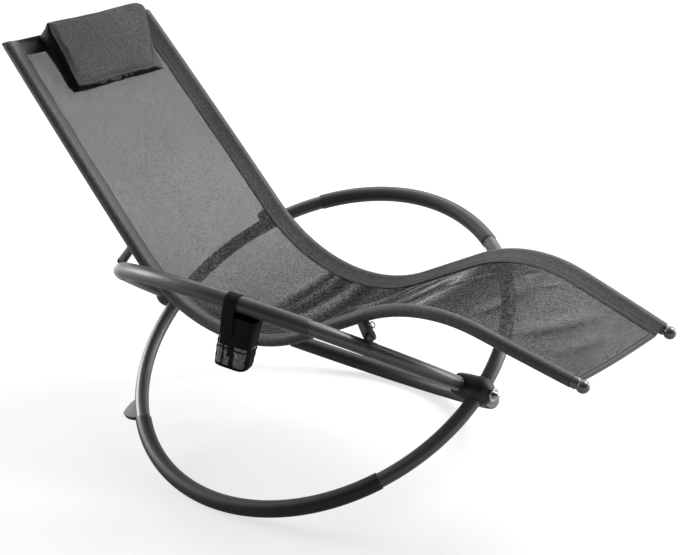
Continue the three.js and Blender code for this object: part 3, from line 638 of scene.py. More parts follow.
def railAt(distance):
    point = railHead.copy()
    left = distance
    for index, (kind, length, start, end) in enumerate(spans):
        here = length if left > length and index < len(spans) - 1 else left
        if kind == "straight":
            point += heading(start) * here
            slope = start
        else:
            slope = start + (end - start) * here / length
            radius = length / (end - start)
            point += Vector((math.sin(slope) - math.sin(start), math.cos(start) - math.cos(slope))) * radius
        left -= here
        if left <= 0 and here != length or index == len(spans) - 1:
            break
    return point.x, point.y, slope


spread = (hingePoint(1, "front") - axle).y + rail["outset"]
sweep = (spread - rail["footSpread"]) / (railAt(railLength)[0] - rail["widest"]) ** 2


def railHalf(x):
    return spread - sweep * (x - rail["widest"]) ** 2


def railPoint(side, distance, inward, lift):
    x, z, slope = railAt(distance)
    y = side * (railHalf(x) - inward)
    return axle + Vector((x - math.sin(slope) * lift, y, z + math.cos(slope) * lift))


def distances(start, end, step=0.004):
    count = max(1, round((end - start) / step))
    return [start + (end - start) * i / count for i in range(count + 1)]


def railTube(name, side):
    def place(row, share):
        distance, radius = row
        turn = 2 * math.pi * share
        return railPoint(side, distance, radius * math.cos(turn), radius * math.sin(turn))

    radius = rail["radius"]
    end = [(0.0005, rail["bore"]), (0.0005, radius - 0.0004), (0.0009, radius)]
    rows = end + [(distance, radius) for distance in distances(0.002, railLength - 0.002, 0.006)]
    rows += [(railLength - distance, wide) for distance, wide in reversed(end)]
    return wrapped(name, 32, rows, place)


for name, side in sides.items():
    finished(railTube(name + "RailTube", side), name + "_rail", "rail", [name + "_rail_tube"])
print("rails ready")


# Struts: a bar with a rounded, slotted foot that straddles the plate of its lug.
def nearestDistance(point):
    target = point - axle
    rows = distances(0.3, 1.2, 0.001)
    return min(rows, key=lambda d: (railAt(d)[0] - target.x) ** 2 + (railAt(d)[1] - target.z) ** 2)


def strutAxis(side, end):
    hinge = hingePoint(side, end)
    top = railPoint(side, nearestDistance(hinge), 0, 0)
    return hinge, top, (top - hinge).normalized()


def strutPiece(name, side, end):
    hinge, top, toward = strutAxis(side, end)
    forward = Vector((1, 0, 0))
    forward = (forward - toward * forward.dot(toward)).normalized()
    beside = toward.cross(forward)
    slimWide, slimDeep = strut["rearSlimming"] if end == "rear" else (1, 1)
    rows = strut["foot"] + [((top - hinge).length - strut["topShort"], *strut["top"])]

    def place(row, share):
        along, wide, deep = row
        turn = 2 * math.pi * share
        power = 0.62 if along < 0.03 else 0.8  # squarer at the foot than at the top
        c, s = (math.copysign(abs(value) ** power, value) for value in (math.cos(turn), math.sin(turn)))
        return hinge + toward * along + forward * (deep * slimDeep * c) + beside * (wide * slimWide * s)

    piece = wrapped(name, 40, rows, place)
    inEdit(piece, (bpy.ops.mesh.fill_holes, {"sides": 0}))
    carved(piece, boxed("strutSlot", strut["slot"], hinge), "DIFFERENCE")
    return smooth(outward(piece), 40)


lug = {"half": 0.009, "outer": 0.0158, "inner": 0.0146, "lip": 0.0004, "plate": 0.0074, "thickness": 0.005,
       "stem": (0.005, 0.0148, 0.016), "bevel": 0.0004}


def lugPiece(name, side, end):
    half = arcDegrees(lug["half"])
    stations = sleeveStations(strut[end] - half, strut[end] + half, lug["outer"], lug["inner"], lug["lip"])
    collar = hoopTube(name, side, stations)
    hinge = hingePoint(side, end)
    plate = added("cylinder", name + "Plate", vertices=40, radius=lug["plate"], depth=lug["thickness"],
                  location=hinge, rotation=(0, math.pi / 2, 0))
    carved(plate, boxed(name + "Stem", lug["stem"], hinge - Vector((0, 0, lug["stem"][2] / 2))), "UNION")
    return joined([collar, smooth(bevelled(plate, lug["bevel"]), 40)], name)


rivetHead = [(0, 0.0119), (0.002, 0.0117), (0.0034, 0.0112), (0.004, 0.0106), (0.004, 0.0103), (0.0026, 0.0103)]


def rivetPiece(name, side, end):
    profile = [(radius, -along) for radius, along in rivetHead] + rivetHead[::-1]
    return turned(name, profile, hingePoint(side, end), Vector((1, 0, 0)), 32)


for name, side in sides.items():
    for end in ("front", "rear"):
        node = name + "_" + end
        label = name + end.title()
        strutBar = strutPiece(label + "Strut", side, end)
        finished(strutBar, name + "_rail", "rail", [node + "_strut"])
        finished(lugPiece(label + "Lug", side, end), name + "_hoop", "hoop", [node + "_lug"])
        finished(rivetPiece(label + "Rivet", side, end), name + "_hoop", "rail", [node + "_rivet"])


# Lock pins with their pull rings
lockPin = {
    "along": 0.029,
    "tail": 0.002,
    "nose": 0.008,
    "radius": 0.0018,
    "tip": 0.0012,
    "bevel": 0.0008,
    "ring": 0.0058,
    "wire": 0.0012,
    "ringAt": (0.9, 0.45),
    "stretch": (1.12, 1, 0.92),
    "swing": 0.25,
}


def lockPieces(name, side):
    hinge, _, toward = strutAxis(side, "front")
    centre = hinge + toward * lockPin["along"]
    start = -strut["radius"] - lockPin["tail"]
    end = strut["radius"] + lockPin["nose"]
    radius, tip, bevel, ring = (lockPin[key] for key in ("radius", "tip", "bevel", "ring"))
    profile = [(0, start), (tip, start), (radius, start + bevel), (radius, end - bevel), (tip, end), (0, end)]
    pin = turned(name + "LockPin", profile, centre, Vector((1, 0, 0)), 32)
    ahead, above = lockPin["ringAt"]
    middle = centre + Vector((end + ring * ahead, 0, ring * above))
    wire = added("torus", name + "PinRing", major_segments=48, minor_segments=12, major_radius=ring,
                 minor_radius=lockPin["wire"], location=middle, rotation=(math.pi / 2, 0, side * lockPin["swing"]))
    inEdit(wire, (bpy.ops.transform.resize, {"value": lockPin["stretch"], "center_override": middle}))
    return pin, smooth(wire)


for name, side in sides.items():
    pin, wire = lockPieces(name, side)
    finished(pin, name + "_pin", "zinc", [name + "_lock_pin"])
    finished(wire, name + "_pin", "zinc", [name + "_pin_ring"])
print("struts ready")


# Rail ends: ball caps at the foot and low plugs at the head. Profiles are (radius, distance out along the rail).
railEnd = {
    "ball": 0.0129,
    "ahead": 0.0104,
    "neck": 0.0092,
    "skirt": [(0.0106, -0.0095), (0.0115, -0.0095), (0.0117, -0.009), (0.0117, -0.0012), (0.0111, -0.0004)],
    "plug": [(0, -0.006), (0.009, -0.006), (0.009, 0.0004), (0.0112, 0.0004), (0.0112, 0.0014), (0.0096, 0.0026),
             (0, 0.0034)],
}


def footCapProfile():
    ball, ahead = railEnd["ball"], railEnd["ahead"]
    start = math.pi - math.asin(railEnd["neck"] / ball)
    arc = [start * (1 - i / 18) for i in range(18)]
    dome = [(ball * math.sin(turn), ahead + ball * math.cos(turn)) for turn in arc]
    return railEnd["skirt"] + dome + [(0, ahead + ball)]


for name, side in sides.items():
    for label, node, distance, way, profile in (("FootCap", "_foot_cap", railLength, 1, footCapProfile()),
                                                ("HeadCap", "_head_cap", 0, -1, railEnd["plug"])):
        place = railPoint(side, distance, 0, 0)
        axis = place - railPoint(side, distance - way * 0.02, 0, 0)
        piece = turned(name + label, profile, place, axis, 40)
        finished(piece, name + "_rail", "cap", [name + node])


# Stop feet: a rounded fin at the rear end of each rocker.
stopFoot = {"thickness": 0.012, "heel": -140.2, "toe": -133.2, "sunk": 0.004, "root": 0.0142, "reach": 0.043,
            "bevel": 0.0013}


def stopFootPiece(name, side):
    heel, toe, sunk, root = (stopFoot[key] for key in ("heel", "toe", "sunk", "root"))
    outline = [(heel, sunk)]
    for i in range(17):
        share = i / 16
        bulge = (1 - abs(2 * share ** 1.05 - 1) ** 1.6) ** 0.9
        outline.append((heel + (toe - heel) * share, root + (stopFoot["reach"] - root) * bulge))
    outline.append((toe, sunk))
    half = stopFoot["thickness"] / 2
    plate = added("circle", name, vertices=len(outline), fill_type="NGON", calc_uvs=False)
    for vertex, (degrees, out) in zip(plate.data.vertices, outline):
        vertex.co = onHoop(side, degrees, out, -half)
    through = onHoop(side, toe, 0, half) - onHoop(side, toe, 0, -half)
    inEdit(plate, (bpy.ops.mesh.extrude_region_move, {"TRANSFORM_OT_translate": {"value": through}}))
    return smooth(bevelled(outward(plate), stopFoot["bevel"], 3, 35), 30)


for name, side in sides.items():
    foot = finished(stopFootPiece(name + "StopFoot", side), name + "_hoop", "foot",
                    [name + "_stop_foot"])
    # Painted shade: the fin's rim faces take the dark hub plastic, so the edge reads as a shaded thickness under the
    # light flat faces.
    foot.data.materials.append(materials["hub"])
    flat = (onHoop(side, stopFoot["toe"], 0, 1) - onHoop(side, stopFoot["toe"])).normalized()
    for polygon in foot.data.polygons:
        if abs(polygon.normal.dot(flat)) < 0.8:
            polygon.material_index = 1
print("caps and feet ready")


# Cloth: the hems are sleeves on the rails, with a flap that runs inward over the panel.
hem = {
    "radius": 0.0126,
    "flap": 0.035,
    "footFlap": 0.029,
    "thickness": 0.0022,
    "tip": -0.005,
    "sag": 0.0012,
    "overlap": 20 * degree,
    "head": -0.008,
    "foot": 0.0035,
    "nearFoot": 0.0105,
    "tuck": 0.0195,
    "footTuck": 0.003,
    "tuckFrom": 0.5,
    "pinch": 0.3,
    "pinchSpread": 0.25,
}
waves = {"seat": 0.86, "spread": 0.16, "faint": 0.0003, "strong": 0.0024, "along": 70, "across": 9, "from": 0.02}
panel = {
    "sag": 0.012,
    "base": 0.004,
    "centre": 0.04,
    "reach": 0.33,
    "headHem": 0.038,
    "footHem": 0.0135,
    "under": 0.0006,
    "slope": 0.25,
    "thickness": 0.0004,
    "seam": 0.004,
    "columns": 96,
}
endHem = {"raised": 0.0013, "thickness": 0.0028, "bevel": 0.0008}


def clamped(value, low=0.0, high=1.0):
    return max(low, min(high, value))


def footShare(distance):
    return clamped((distance - (railLength - rail["foot"])) / rail["foot"])


def flapAt(distance):
    return hem["flap"] + (hem["footFlap"] - hem["flap"]) * footShare(distance)


def bell(value, width):
    return math.exp(-(value / width) ** 2)


# Small waves across the flap: tight in the seat bend, faint elsewhere, and none at the rail.
def flapWaves(side, distance, inward):
    strength = waves["faint"] + waves["strong"] * bell(distance - waves["seat"], waves["spread"])
    ripple = noise.noise(Vector((distance * waves["along"], inward * waves["across"], side * 7.0)))
    return strength * ripple * clamped(inward / waves["from"])


# How far round the rail the flap leaves the sleeve.
def leavingTurn(flap):
    return math.atan2(hem["tip"], flap) + math.acos(hem["radius"] / math.hypot(flap, hem["tip"]))


def flapLift(side, distance, inward):
    flap, radius = flapAt(distance), hem["radius"]
    turn = leavingTurn(flap)
    start, top = radius * math.cos(turn), radius * math.sin(turn)
    if inward <= start:
        return math.sqrt(max(radius ** 2 - inward ** 2, 0))
    share = min((inward - start) / (flap - start), 1)
    sag = hem["sag"] * math.sin(math.pi * share)
    return top + (hem["tip"] - top) * share - sag + flapWaves(side, distance, inward)


# Beyond the rail's head end the empty sleeve is pinched flat.
def pinchAt(distance):
    return hem["pinch"] + (1 - hem["pinch"]) * clamped((distance - hem["head"]) / -hem["head"]) ** 0.7


def hemOutline(side, distance):
    def lifted(inwards, under=0):
        return [(inward, flapLift(side, distance, inward) - under) for inward in inwards]

    radius, thickness, flap = hem["radius"], hem["thickness"], flapAt(distance)
    tip = flapLift(side, distance, flap)
    first, last = leavingTurn(flap), 2 * math.pi + hem["overlap"]
    start = radius * math.cos(first)
    outline = [(flap - 0.0006, tip)] + lifted([flap - 0.002])
    outline += lifted([start + (flap - start) * i / 13 for i in range(12, 0, -1)])
    turns = [first + (last - first) * i / 40 for i in range(41)]
    outline += [(radius * math.cos(turn), radius * math.sin(turn)) for turn in turns]
    outline += lifted([radius + 0.0003 + (flap - 0.0009 - radius) * i / 8 for i in range(1, 9)], thickness)
    outline.append((flap, tip - thickness / 2))
    pinch = pinchAt(distance)
    wider = 1 + hem["pinchSpread"] * (1 - pinch)
    return [(inward * (wider if inward < 0 else 1), lift * pinch) for inward, lift in outline]


def hemPiece(name, side):
    end = railLength - hem["nearFoot" if side < 0 else "foot"]
    rows = distances(hem["head"], 0.006, 0.001) + distances(0.01, end)
    outlines = {distance: hemOutline(side, distance) for distance in rows}
    base = outlines[rows[0]]
    count = len(base)
    lengths = [0.0]
    for i in range(count):
        lengths.append(lengths[-1] + math.dist(base[i], base[(i + 1) % count]))

    def place(distance, share):
        return railPoint(side, distance, *outlines[distance][round(share * count) % count])

    def lay(distance, share):
        return (lengths[round(share * count)], distance)

    return capped(wrapped(name, count, rows, place, lay=lay))


for name, side in sides.items():
    finished(hemPiece(name + "SideHem", side), name + "_rail", "hem", [name + "_side_hem"])
print("hems ready")


# Folds in the panel: from and to as (distance, share of the way to the flap), then depth and width.
folds = [
    ((0.792, -0.1), (0.786, 1.0), -0.009, 0.015),
    ((0.809, 0.3), (0.807, 1.0), 0.005, 0.010),
    ((0.829, -0.1), (0.826, 1.0), -0.011, 0.017),
    ((0.860, -0.3), (0.857, 0.9), 0.006, 0.016),
    ((0.892, -0.3), (0.891, 0.95), -0.012, 0.019),
    ((0.930, 0.4), (1.045, 1.0), 0.006, 0.009),
    ((0.985, 0.1), (1.130, 0.95), 0.007, 0.010),
    ((1.060, -0.3), (1.180, 0.6), -0.005, 0.011),
    ((1.130, -0.6), (1.310, 0.65), 0.006, 0.011),
    ((1.190, -0.3), (1.330, 0.9), -0.004, 0.012),
    ((1.412, -0.9), (1.420, 0.1), -0.0045, 0.014),
    ((1.420, 0.1), (1.394, 0.9), -0.0045, 0.016),
    ((1.430, 0.6), (1.456, 1.0), -0.005, 0.009),
    ((1.378, 0.7), (1.396, 0.95), 0.005, 0.008),
    ((1.500, -0.9), (1.562, 0.9), -0.006, 0.02),
    ((1.590, -0.8), (1.606, 0.3), -0.0035, 0.016),
    ((0.735, -1.0), (0.785, -0.75), 0.005, 0.012),
    ((0.880, -1.0), (0.900, -0.5), -0.005, 0.014),
]


def foldLift(distance, y, opening):
    point = Vector((distance, y))
    lift = 0.0
    for first, last, depth, width in folds:
        start, end = (Vector((along, share * opening)) for along, share in (first, last))
        run = end - start
        share = clamped((point - start).dot(run) / run.length_squared)
        gap = (point - start - run * share).length
        fade = clamped(min(share, 1 - share) * 4 + 0.25)
        lift += depth * fade * bell(gap, width)
    return lift


def panelLift(distance, y):
    x, _, _ = railAt(distance)
    flap = flapAt(distance)
    opening = railHalf(x) - flap
    tuck = hem["tip"] - hem["thickness"] - panel["under"] + panel["slope"] * max(flap - railHalf(x) + abs(y), 0)
    sag = panel["base"] + panel["sag"] * bell(x - panel["centre"], panel["reach"])
    belly = 1 - min(abs(y) / opening, 1) ** 2
    return (tuck + belly * (foldLift(distance, y, opening) - sag)) * pinchAt(distance)


# Half the width between the flaps, and half the width of the cloth that is sewn in under them.
def openAt(distance):
    return railHalf(railAt(distance)[0]) - flapAt(distance)


def panelEdge(distance):
    share = clamped((distance - hem["tuckFrom"]) / (railLength - hem["tuckFrom"]))
    return openAt(distance) + hem["tuck"] + (hem["footTuck"] - hem["tuck"]) * share


# A point of the cloth: how far down the rails, how far to the left and how far above its own surface.
def panelPoint(distance, y, raised):
    x, _, _ = railAt(distance)
    return railPoint(1, distance, railHalf(x) - y, panelLift(distance, y) + raised)


def clothStrip(name, start, end, step=0.004, raised=0.0):
    def place(distance, share):
        return panelPoint(distance, panelEdge(distance) * (2 * share - 1), raised)

    def lay(distance, share):
        return (panelEdge(distance) * (2 * share - 1), distance)

    piece = wrapped(name, panel["columns"], distances(start, end, step), place, closed=False, lay=lay)
    if sum(polygon.normal.z * polygon.area for polygon in piece.data.polygons) < 0:
        inEdit(piece, (bpy.ops.mesh.flip_normals, {}))
    return piece


sewn = {"head": hem["head"] + panel["headHem"], "foot": railLength - hem["foot"] - panel["footHem"]}
seat = clothStrip("seatPanel", sewn["head"] - panel["seam"], sewn["foot"] + panel["seam"])
modified(seat, "SOLIDIFY", thickness=panel["thickness"], offset=0)
smooth(seat, 60)
finished(seat, "sling", "mesh", ["seat_panel"])
endHems = []
for label, start, end in (("head", hem["head"], sewn["head"]), ("foot", sewn["foot"], railLength - hem["foot"])):
    strip = clothStrip(label + "Hem", start, end, 0.003, endHem["raised"])
    modified(strip, "SOLIDIFY", thickness=endHem["thickness"], offset=-0.2)
    smooth(bevelled(strip, endHem["bevel"]))
    endHems.append(finished(strip, "sling", "endHem", [label + "_hem"]))
print("panel ready")

for piece in [seat, *endHems]:
    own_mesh(piece)
panelArea = sum(polygon.area for polygon in seat.data.polygons) / 2
2 * panelEdge(0.5)
sewn["foot"] - sewn["head"] + 0.008
min(panelArea, 2 * panelEdge(0.5) * (sewn["foot"] - sewn["head"]))


# Stitches: one rounded thread loop, repeated along each seam.
stitch = {
    "fine": {"radius": 0.00042, "length": 0.0032},
    "bold": {"radius": 0.0007, "length": 0.0039},
    "pitch": 0.0046,
    "flapRows": (0.004, 0.010),
    "flapEnds": (0.002, 0.004),
    "flapRaised": 0.0001,
    "headRows": (0.0335, 0.0275),
    "footRows": (-0.0035, -0.011),
    "endGap": 0.002,
    "endRaised": 0.0022,
}


def stitchBase(radius, length):
    base = added("cylinder", "stitchBase", vertices=8, radius=radius, depth=length, rotation=(0, math.pi / 2, 0))
    return bevelled(base, radius * 0.6, angle=40)


def seamPlaces(points):
    places = []
    for here, there in zip(points, points[1:]):
        run = (there - here).normalized()
        side = Vector((0, 0, 1)).cross(run).normalized()
        turn = Matrix((run, side, run.cross(side))).transposed().to_4x4()
        places.append(Matrix.Translation((here + there) / 2) @ turn)
    return places


def flapSeams(side):
    first, last = stitch["flapEnds"]
    end = railLength - hem["nearFoot" if side < 0 else "foot"] - last
    places = []
    for back in stitch["flapRows"]:
        points = []
        for distance in distances(first, end, stitch["pitch"]):
            inward = flapAt(distance) - back
            lift = flapLift(side, distance, inward) + stitch["flapRaised"]
            points.append(railPoint(side, distance, inward, lift))
        places += seamPlaces(points)
    return places


def endSeams():
    rows = [hem["head"] + inset for inset in stitch["headRows"]]
    rows += [railLength - hem["foot"] + inset for inset in stitch["footRows"]]
    places = []
    for distance in rows:
        reach = openAt(distance) - stitch["endGap"]
        points = [panelPoint(distance, y, stitch["endRaised"]) for y in distances(-reach, reach, stitch["pitch"])]
        places += seamPlaces(points)
    return places


thread = stitchBase(**stitch["fine"])
for name, side in sides.items():
    piece = repeated(name + "HemStitches", thread, flapSeams(side))
    finished(piece, name + "_rail", "thread")
boldThread = stitchBase(**stitch["bold"])
piece = repeated("endHemStitches", boldThread, endSeams())
finished(piece, "sling", "thread")
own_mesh(piece)
bpy.data.objects.remove(thread)
bpy.data.objects.remove(boldThread)
print("stitches ready")


# Head pillow: a boxed wedge on the back panel.
pillow = {
    "width": 0.274,
    "length": 0.158,
    "overhang": 0.006,
    "headThickness": 0.068,
    "lowThickness": 0.031,
    "seat": 0.0012,
    "seatFrom": 0.045,
    "aside": 0.016,
    "slant": 0.036,
    "spread": 0.07,
    "flare": 0.016,
    "headFlare": 0.008,
    "cornerIn": 0.03,
    "sideIn": 0.015,
    "endIn": 0.02,
    "crown": 0.005,
    "dents": 0.0022,
    "bevel": 0.005,
    "voxel": 0.005,
    "cap": 0.0035,
    "piping": 0.0016,
    "pipingSteps": 140,
}


def pillowFrame():
    x, z, slope = railAt(0)
    run = Vector((math.cos(slope), 0, math.sin(slope)))
    return axle + Vector((x, 0, z)), run, Vector((-run.z, 0, run.x))


pillowOrigin, pillowRun, pillowRise = pillowFrame()


def pillowPoint(down, y, lift):
    return pillowOrigin + pillowRun * down + pillowRise * lift + across * y


def pillowBase(down, y):
    return panelLift(clamped(down, pillow["seatFrom"], 1), y) + pillow["seat"]


# a, b and c run from -1 to 1: down the back, across it, and from the panel to the face.
def pillowPlace(a, b, c):
    corner = clamped((abs(a) + abs(b) - 1.5) / 0.5) * (1.8 if b > 0 and a < 0 else 1)
    shrink = 1 - pillow["cornerIn"] * corner ** 2
    shrink -= pillow["sideIn"] * (1 - a * a) * (abs(b) > 0.99) + pillow["endIn"] * (1 - b * b) * (abs(a) > 0.99)
    rise = (c + 1) / 2
    down = pillow["length"] / 2 * (1 + a * shrink) - pillow["overhang"]
    share = (down + pillow["overhang"]) / pillow["length"]
    y = pillow["width"] / 2 * b * shrink * (1 + pillow["spread"] * (1 - share) * rise)
    flare = pillow["flare"] * share * (1 - rise) + pillow["headFlare"] * (1 - share) * rise
    y += pillow["aside"] + (flare - pillow["slant"] * rise * share) * clamped(b)
    thickness = pillow["headThickness"] + (pillow["lowThickness"] - pillow["headThickness"]) * share
    crown = pillow["crown"] * (1 - a * a) * (1 - b * b)
    dents = pillow["dents"] * noise.noise(Vector((a * 2.1, b * 2.6, c)))
    return pillowPoint(down, y, pillowBase(down, y) + (thickness + crown + dents) * rise)


def pillowPiece():
    piece = added("cube", "headPillow", size=2)
    inEdit(piece, (bpy.ops.mesh.subdivide, {"number_cuts": 11}))
    for vertex in piece.data.vertices:
        vertex.co = pillowPlace(*vertex.co)
    return outward(bevelled(piece, pillow["bevel"]))


# Air pressure rounds the cloth, but moves no point further than the cap.
def puffed(piece, frames=14, pressure=2.0):
    modified(piece, "REMESH", mode="VOXEL", voxel_size=pillow["voxel"])
    air = piece.modifiers.new("Cloth", "CLOTH")
    air.settings.use_pressure = True
    air.settings.uniform_pressure_force = pressure
    air.settings.effector_weights.gravity = 0
    air.settings.quality = 6
    air.settings.tension_stiffness = 15
    air.settings.compression_stiffness = 15
    scene = bpy.context.scene
    for step in range(1, frames + 1):
        scene.frame_set(step)
    graph = bpy.context.evaluated_depsgraph_get()
    moved = [vertex.co.copy() for vertex in piece.evaluated_get(graph).data.vertices]
    piece.modifiers.remove(air)
    scene.frame_set(1)
    for vertex, to in zip(piece.data.vertices, moved):
        shift = to - vertex.co
        if shift.length > pillow["cap"]:
            shift *= pillow["cap"] / shift.length
        vertex.co += shift
    return modified(piece, "SUBSURF", levels=1)


# Nothing of the pillow sinks into the panel.
def settledPillow(piece):
    for vertex in piece.data.vertices:
        offset = vertex.co - pillowOrigin
        lift = offset.dot(pillowRise)
        floor = pillowBase(offset.dot(pillowRun), offset.y)
        if lift < floor:
            vertex.co += pillowRise * (floor - lift)
    return smooth(piece, 60)


body = settledPillow(puffed(pillowPiece()))
finished(body, "pillow", "pillow", ["head_pillow"])
body.data.materials.append(materials["gusset"])
for polygon in body.data.polygons:
    facing = polygon.normal.dot(pillowRise) + 0.25 * (polygon.normal.y > 0)
    if facing < 0.55 and polygon.normal.dot(pillowRun) > -0.7:
        polygon.material_index = 1
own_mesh(body)


# Piping along the front face and along the foot of the pillow's boxed sides.
def pipingPath(c):
    tree = BVHTree.FromObject(body, bpy.context.evaluated_depsgraph_get())
    heart = pillowPlace(0, 0, 0)
    count = pillow["pipingSteps"]
    path = []
    for i in range(count):
        turn = 2 * math.pi * i / count
        reach = 1 / max(abs(math.cos(turn)), abs(math.sin(turn)))
        target = pillowPlace(math.cos(turn) * reach, math.sin(turn) * reach, c)
        direction = (target - heart).normalized()
        hit, _, _, _ = tree.ray_cast(heart + direction * 0.5, -direction)
        path.append(hit if hit else target)
    for _ in range(4):
        path = [(path[i - 1] + path[i] * 2 + path[(i + 1) % count]) / 4 for i in range(count)]
    return path


def cordPiece(name, path, radius):
    count = len(path)

    def place(row, share):
        here = path[row % count]
        run = (path[(row + 1) % count] - path[(row - 1) % count]).normalized()
        side = run.cross(Vector((0.31, 0.17, 0.93))).normalized()
        rise = side.cross(run)
        turn = 2 * math.pi * share
        return here + side * (radius * math.cos(turn)) + rise * (radius * math.sin(turn))

    return wrapped(name, 12, list(range(count + 1)), place)


for label, c in (("Front", 0.96), ("Back", -0.86)):
    cord = cordPiece("pillow" + label + "Piping", pipingPath(c), pillow["piping"])
    finished(cord, "pillow", "piping")
    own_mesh(cord)
print("pillow ready")


# Pouch on the right armrest: local x runs back along the armrest, y toward the seat, and z down.
pouch = {
    "angle": 74,
    "length": 0.074,
    "width": 0.052,
    "depth": 0.1165,
    "top": 0.0185,
    "forward": 0.025,
    "inward": 0.007,
    "lean": 0.012,
    "flare": 0.001,
    "power": 0.5,
    "taper": 0.07,
    "foldedIn": 0.05,
    "mouthDrop": 0.005,
    "crease": 0.0016,
    "windowCrease": 0.0013,
    "windows": [(-0.0005, 0.014), (-0.0125, -0.003), (-0.05, -0.0255)],
    "windowOuter": -0.012,
    "windowFront": (-0.0535, -0.014, 0.02),
    "windowHeight": (0.084, 0.127),
    "bands": ((0.972, 0.0034), (0.62, 0.003), (0.01, 0.004)),
    "bandThickness": 0.0022,
    "uprights": (-0.28, -0.62, -1.35, -2.62, -2.95, 2.8, 0.4),
    "uprightWidth": 0.0032,
    "uprightThickness": 0.0018,
}
strap = {"width": 0.027, "along": -0.006, "radius": 0.0174, "thickness": 0.0014, "drop": 0.045, "edge": 0.0006}


def pouchMatrix():
    along = (onHoop(-1, pouch["angle"] + 9) - onHoop(-1, pouch["angle"] - 9)).normalized()
    down = (Vector((0, 0, -1)) + along * along.z).normalized()
    side = down.cross(along)
    return Matrix.Translation(onHoop(-1, pouch["angle"])) @ Matrix((along, side, down)).transposed().to_4x4()


pouchPlace = pouchMatrix()


# A point of the pouch wall, by the turn round it, the share of its depth and how far it stands out.
def pouchWall(turn, share, out=0.0):
    def powered(value):
        return math.copysign(abs(value) ** pouch["power"], value)

    taper = 1 - pouch["taper"] * share - pouch["foldedIn"] * clamped((share - 0.86) / 0.14) ** 2
    flare = pouch["flare"] * (1 - share)
    x = powered(math.cos(turn)) * (pouch["length"] / 2 * taper + flare + out)
    y = powered(math.sin(turn)) * (pouch["width"] / 2 * taper + flare + out)
    drop = pouch["mouthDrop"] * (1 - share) * clamped((pouch["forward"] - x) / 0.06)
    z = pouch["top"] + pouch["depth"] * share + drop
    crease = pouch["crease"] * noise.noise(Vector((x * 42, y * 42, z * 20))) * clamped(share * 6)
    window = clamped((share - 0.5) * 8) * clamped((0.96 - share) * 12)
    crease += pouch["windowCrease"] * noise.noise(Vector((x * 150, y * 150, z * 110))) * window
    scale = 1 + crease / 0.03
    forward = pouch["forward"] - pouch["lean"] * share
    return pouchPlace @ Vector((x * scale - forward, y * scale + pouch["inward"], z))


def pouchShell():
    def place(row, share):
        return pouchWall(2 * math.pi * share, row[0], -row[1])

    rows = [(0.92, 0.0052), (0.1, 0.003), (0.012, 0.0022), (0, 0.0015), (-0.005, 0.0008), (0, 0)]
    rows += [(i / 46, 0) for i in range(1, 45)]
    rows += [(0.978, 0.0004), (0.992, 0.0018), (1, 0.005), (0.998, 0.012), (0.994, 0.02), (0.99, 0.0255)]
    return capped(wrapped("pouchBody", 160, rows, place))


def pouchLocal(point):
    return pouchPlace.inverted() @ point


shell = finished(pouchShell(), "pouch", "pouch", ["pouch_body"])
shell.data.materials.append(materials["vinyl"])
upper, lower = pouch["windowHeight"]
ahead, outmost, inmost = pouch["windowFront"]
for polygon in shell.data.polygons:
    spot = pouchLocal(polygon.center)
    outer = spot.y < pouch["windowOuter"] and any(first < spot.x < last for first, last in pouch["windows"])
    front = spot.x < ahead and outmost < spot.y < inmost
    if upper < spot.z < lower and (outer or front):
        polygon.material_index = 1


def ribbon(name, points, normal, width, thickness):
    def place(row, share):
        here = points[row]
        run = (points[min(row + 1, len(points) - 1)] - points[max(row - 1, 0)]).normalized()
        face = (normal(here) - run * normal(here).dot(run)).normalized()
        side = run.cross(face)
        turn = 2 * math.pi * share
        return here + side * (width / 2 * math.cos(turn)) + face * (thickness / 2 * math.sin(turn))

    return wrapped(name, 12, list(range(len(points))), place)


def outFromPouch(point):
    spot = pouchLocal(point)
    flat = Vector((spot.x + pouch["forward"], (spot.y - pouch["inward"]) * 1.4, 0))
    return pouchPlace.to_3x3() @ flat


# Bindings: one round the bottom, one round the mouth, and one down each side of the windows.
bindings = []
for share, wide in pouch["bands"]:
    loop = [pouchWall(2 * math.pi * i / 96, share, 0.0003) for i in range(97)]
    bindings.append(ribbon("pouchBinding", loop, outFromPouch, wide, pouch["bandThickness"]))
for turn in pouch["uprights"]:
    upright = [pouchWall(turn, 0.5 + 0.47 * i / 16, 0.0003) for i in range(17)]
    bindings.append(ribbon("pouchBinding", upright, outFromPouch, pouch["uprightWidth"], pouch["uprightThickness"]))
finished(joined(bindings, "pouchBindings"), "pouch", "pouch")
glint = [pouchWall(-1.06, 0.3 + 0.25 * i / 12, 0.0006) for i in range(13)]
finished(ribbon("pouchCrease", glint, outFromPouch, 0.0016, 0.0014), "pouch", "vinyl")


# The strap's path is in the pouch's own y and z, from its outer wall over the armrest to its inner wall.
def strapPath():
    outer = pouch["inward"] - pouch["width"] / 2 - pouch["flare"] - 0.0005 - strap["thickness"] / 2
    middle = strap["radius"] + strap["thickness"] / 2
    top, drop = pouch["top"], strap["drop"]
    rising = [(outer + 0.001, top + drop), (outer, top + drop * 0.5), (outer, top + 0.004), (outer * 0.95, top - 0.008)]
    arch = [(-middle * math.cos(turn * degree), -middle * math.sin(turn * degree)) for turn in range(-10, 201, 10)]
    falling = [(middle * 0.96, middle * 0.6), (middle * 0.88, top + 0.004), (middle * 0.86, top + 0.02)]
    return [Vector(point) for point in rising + arch + falling]


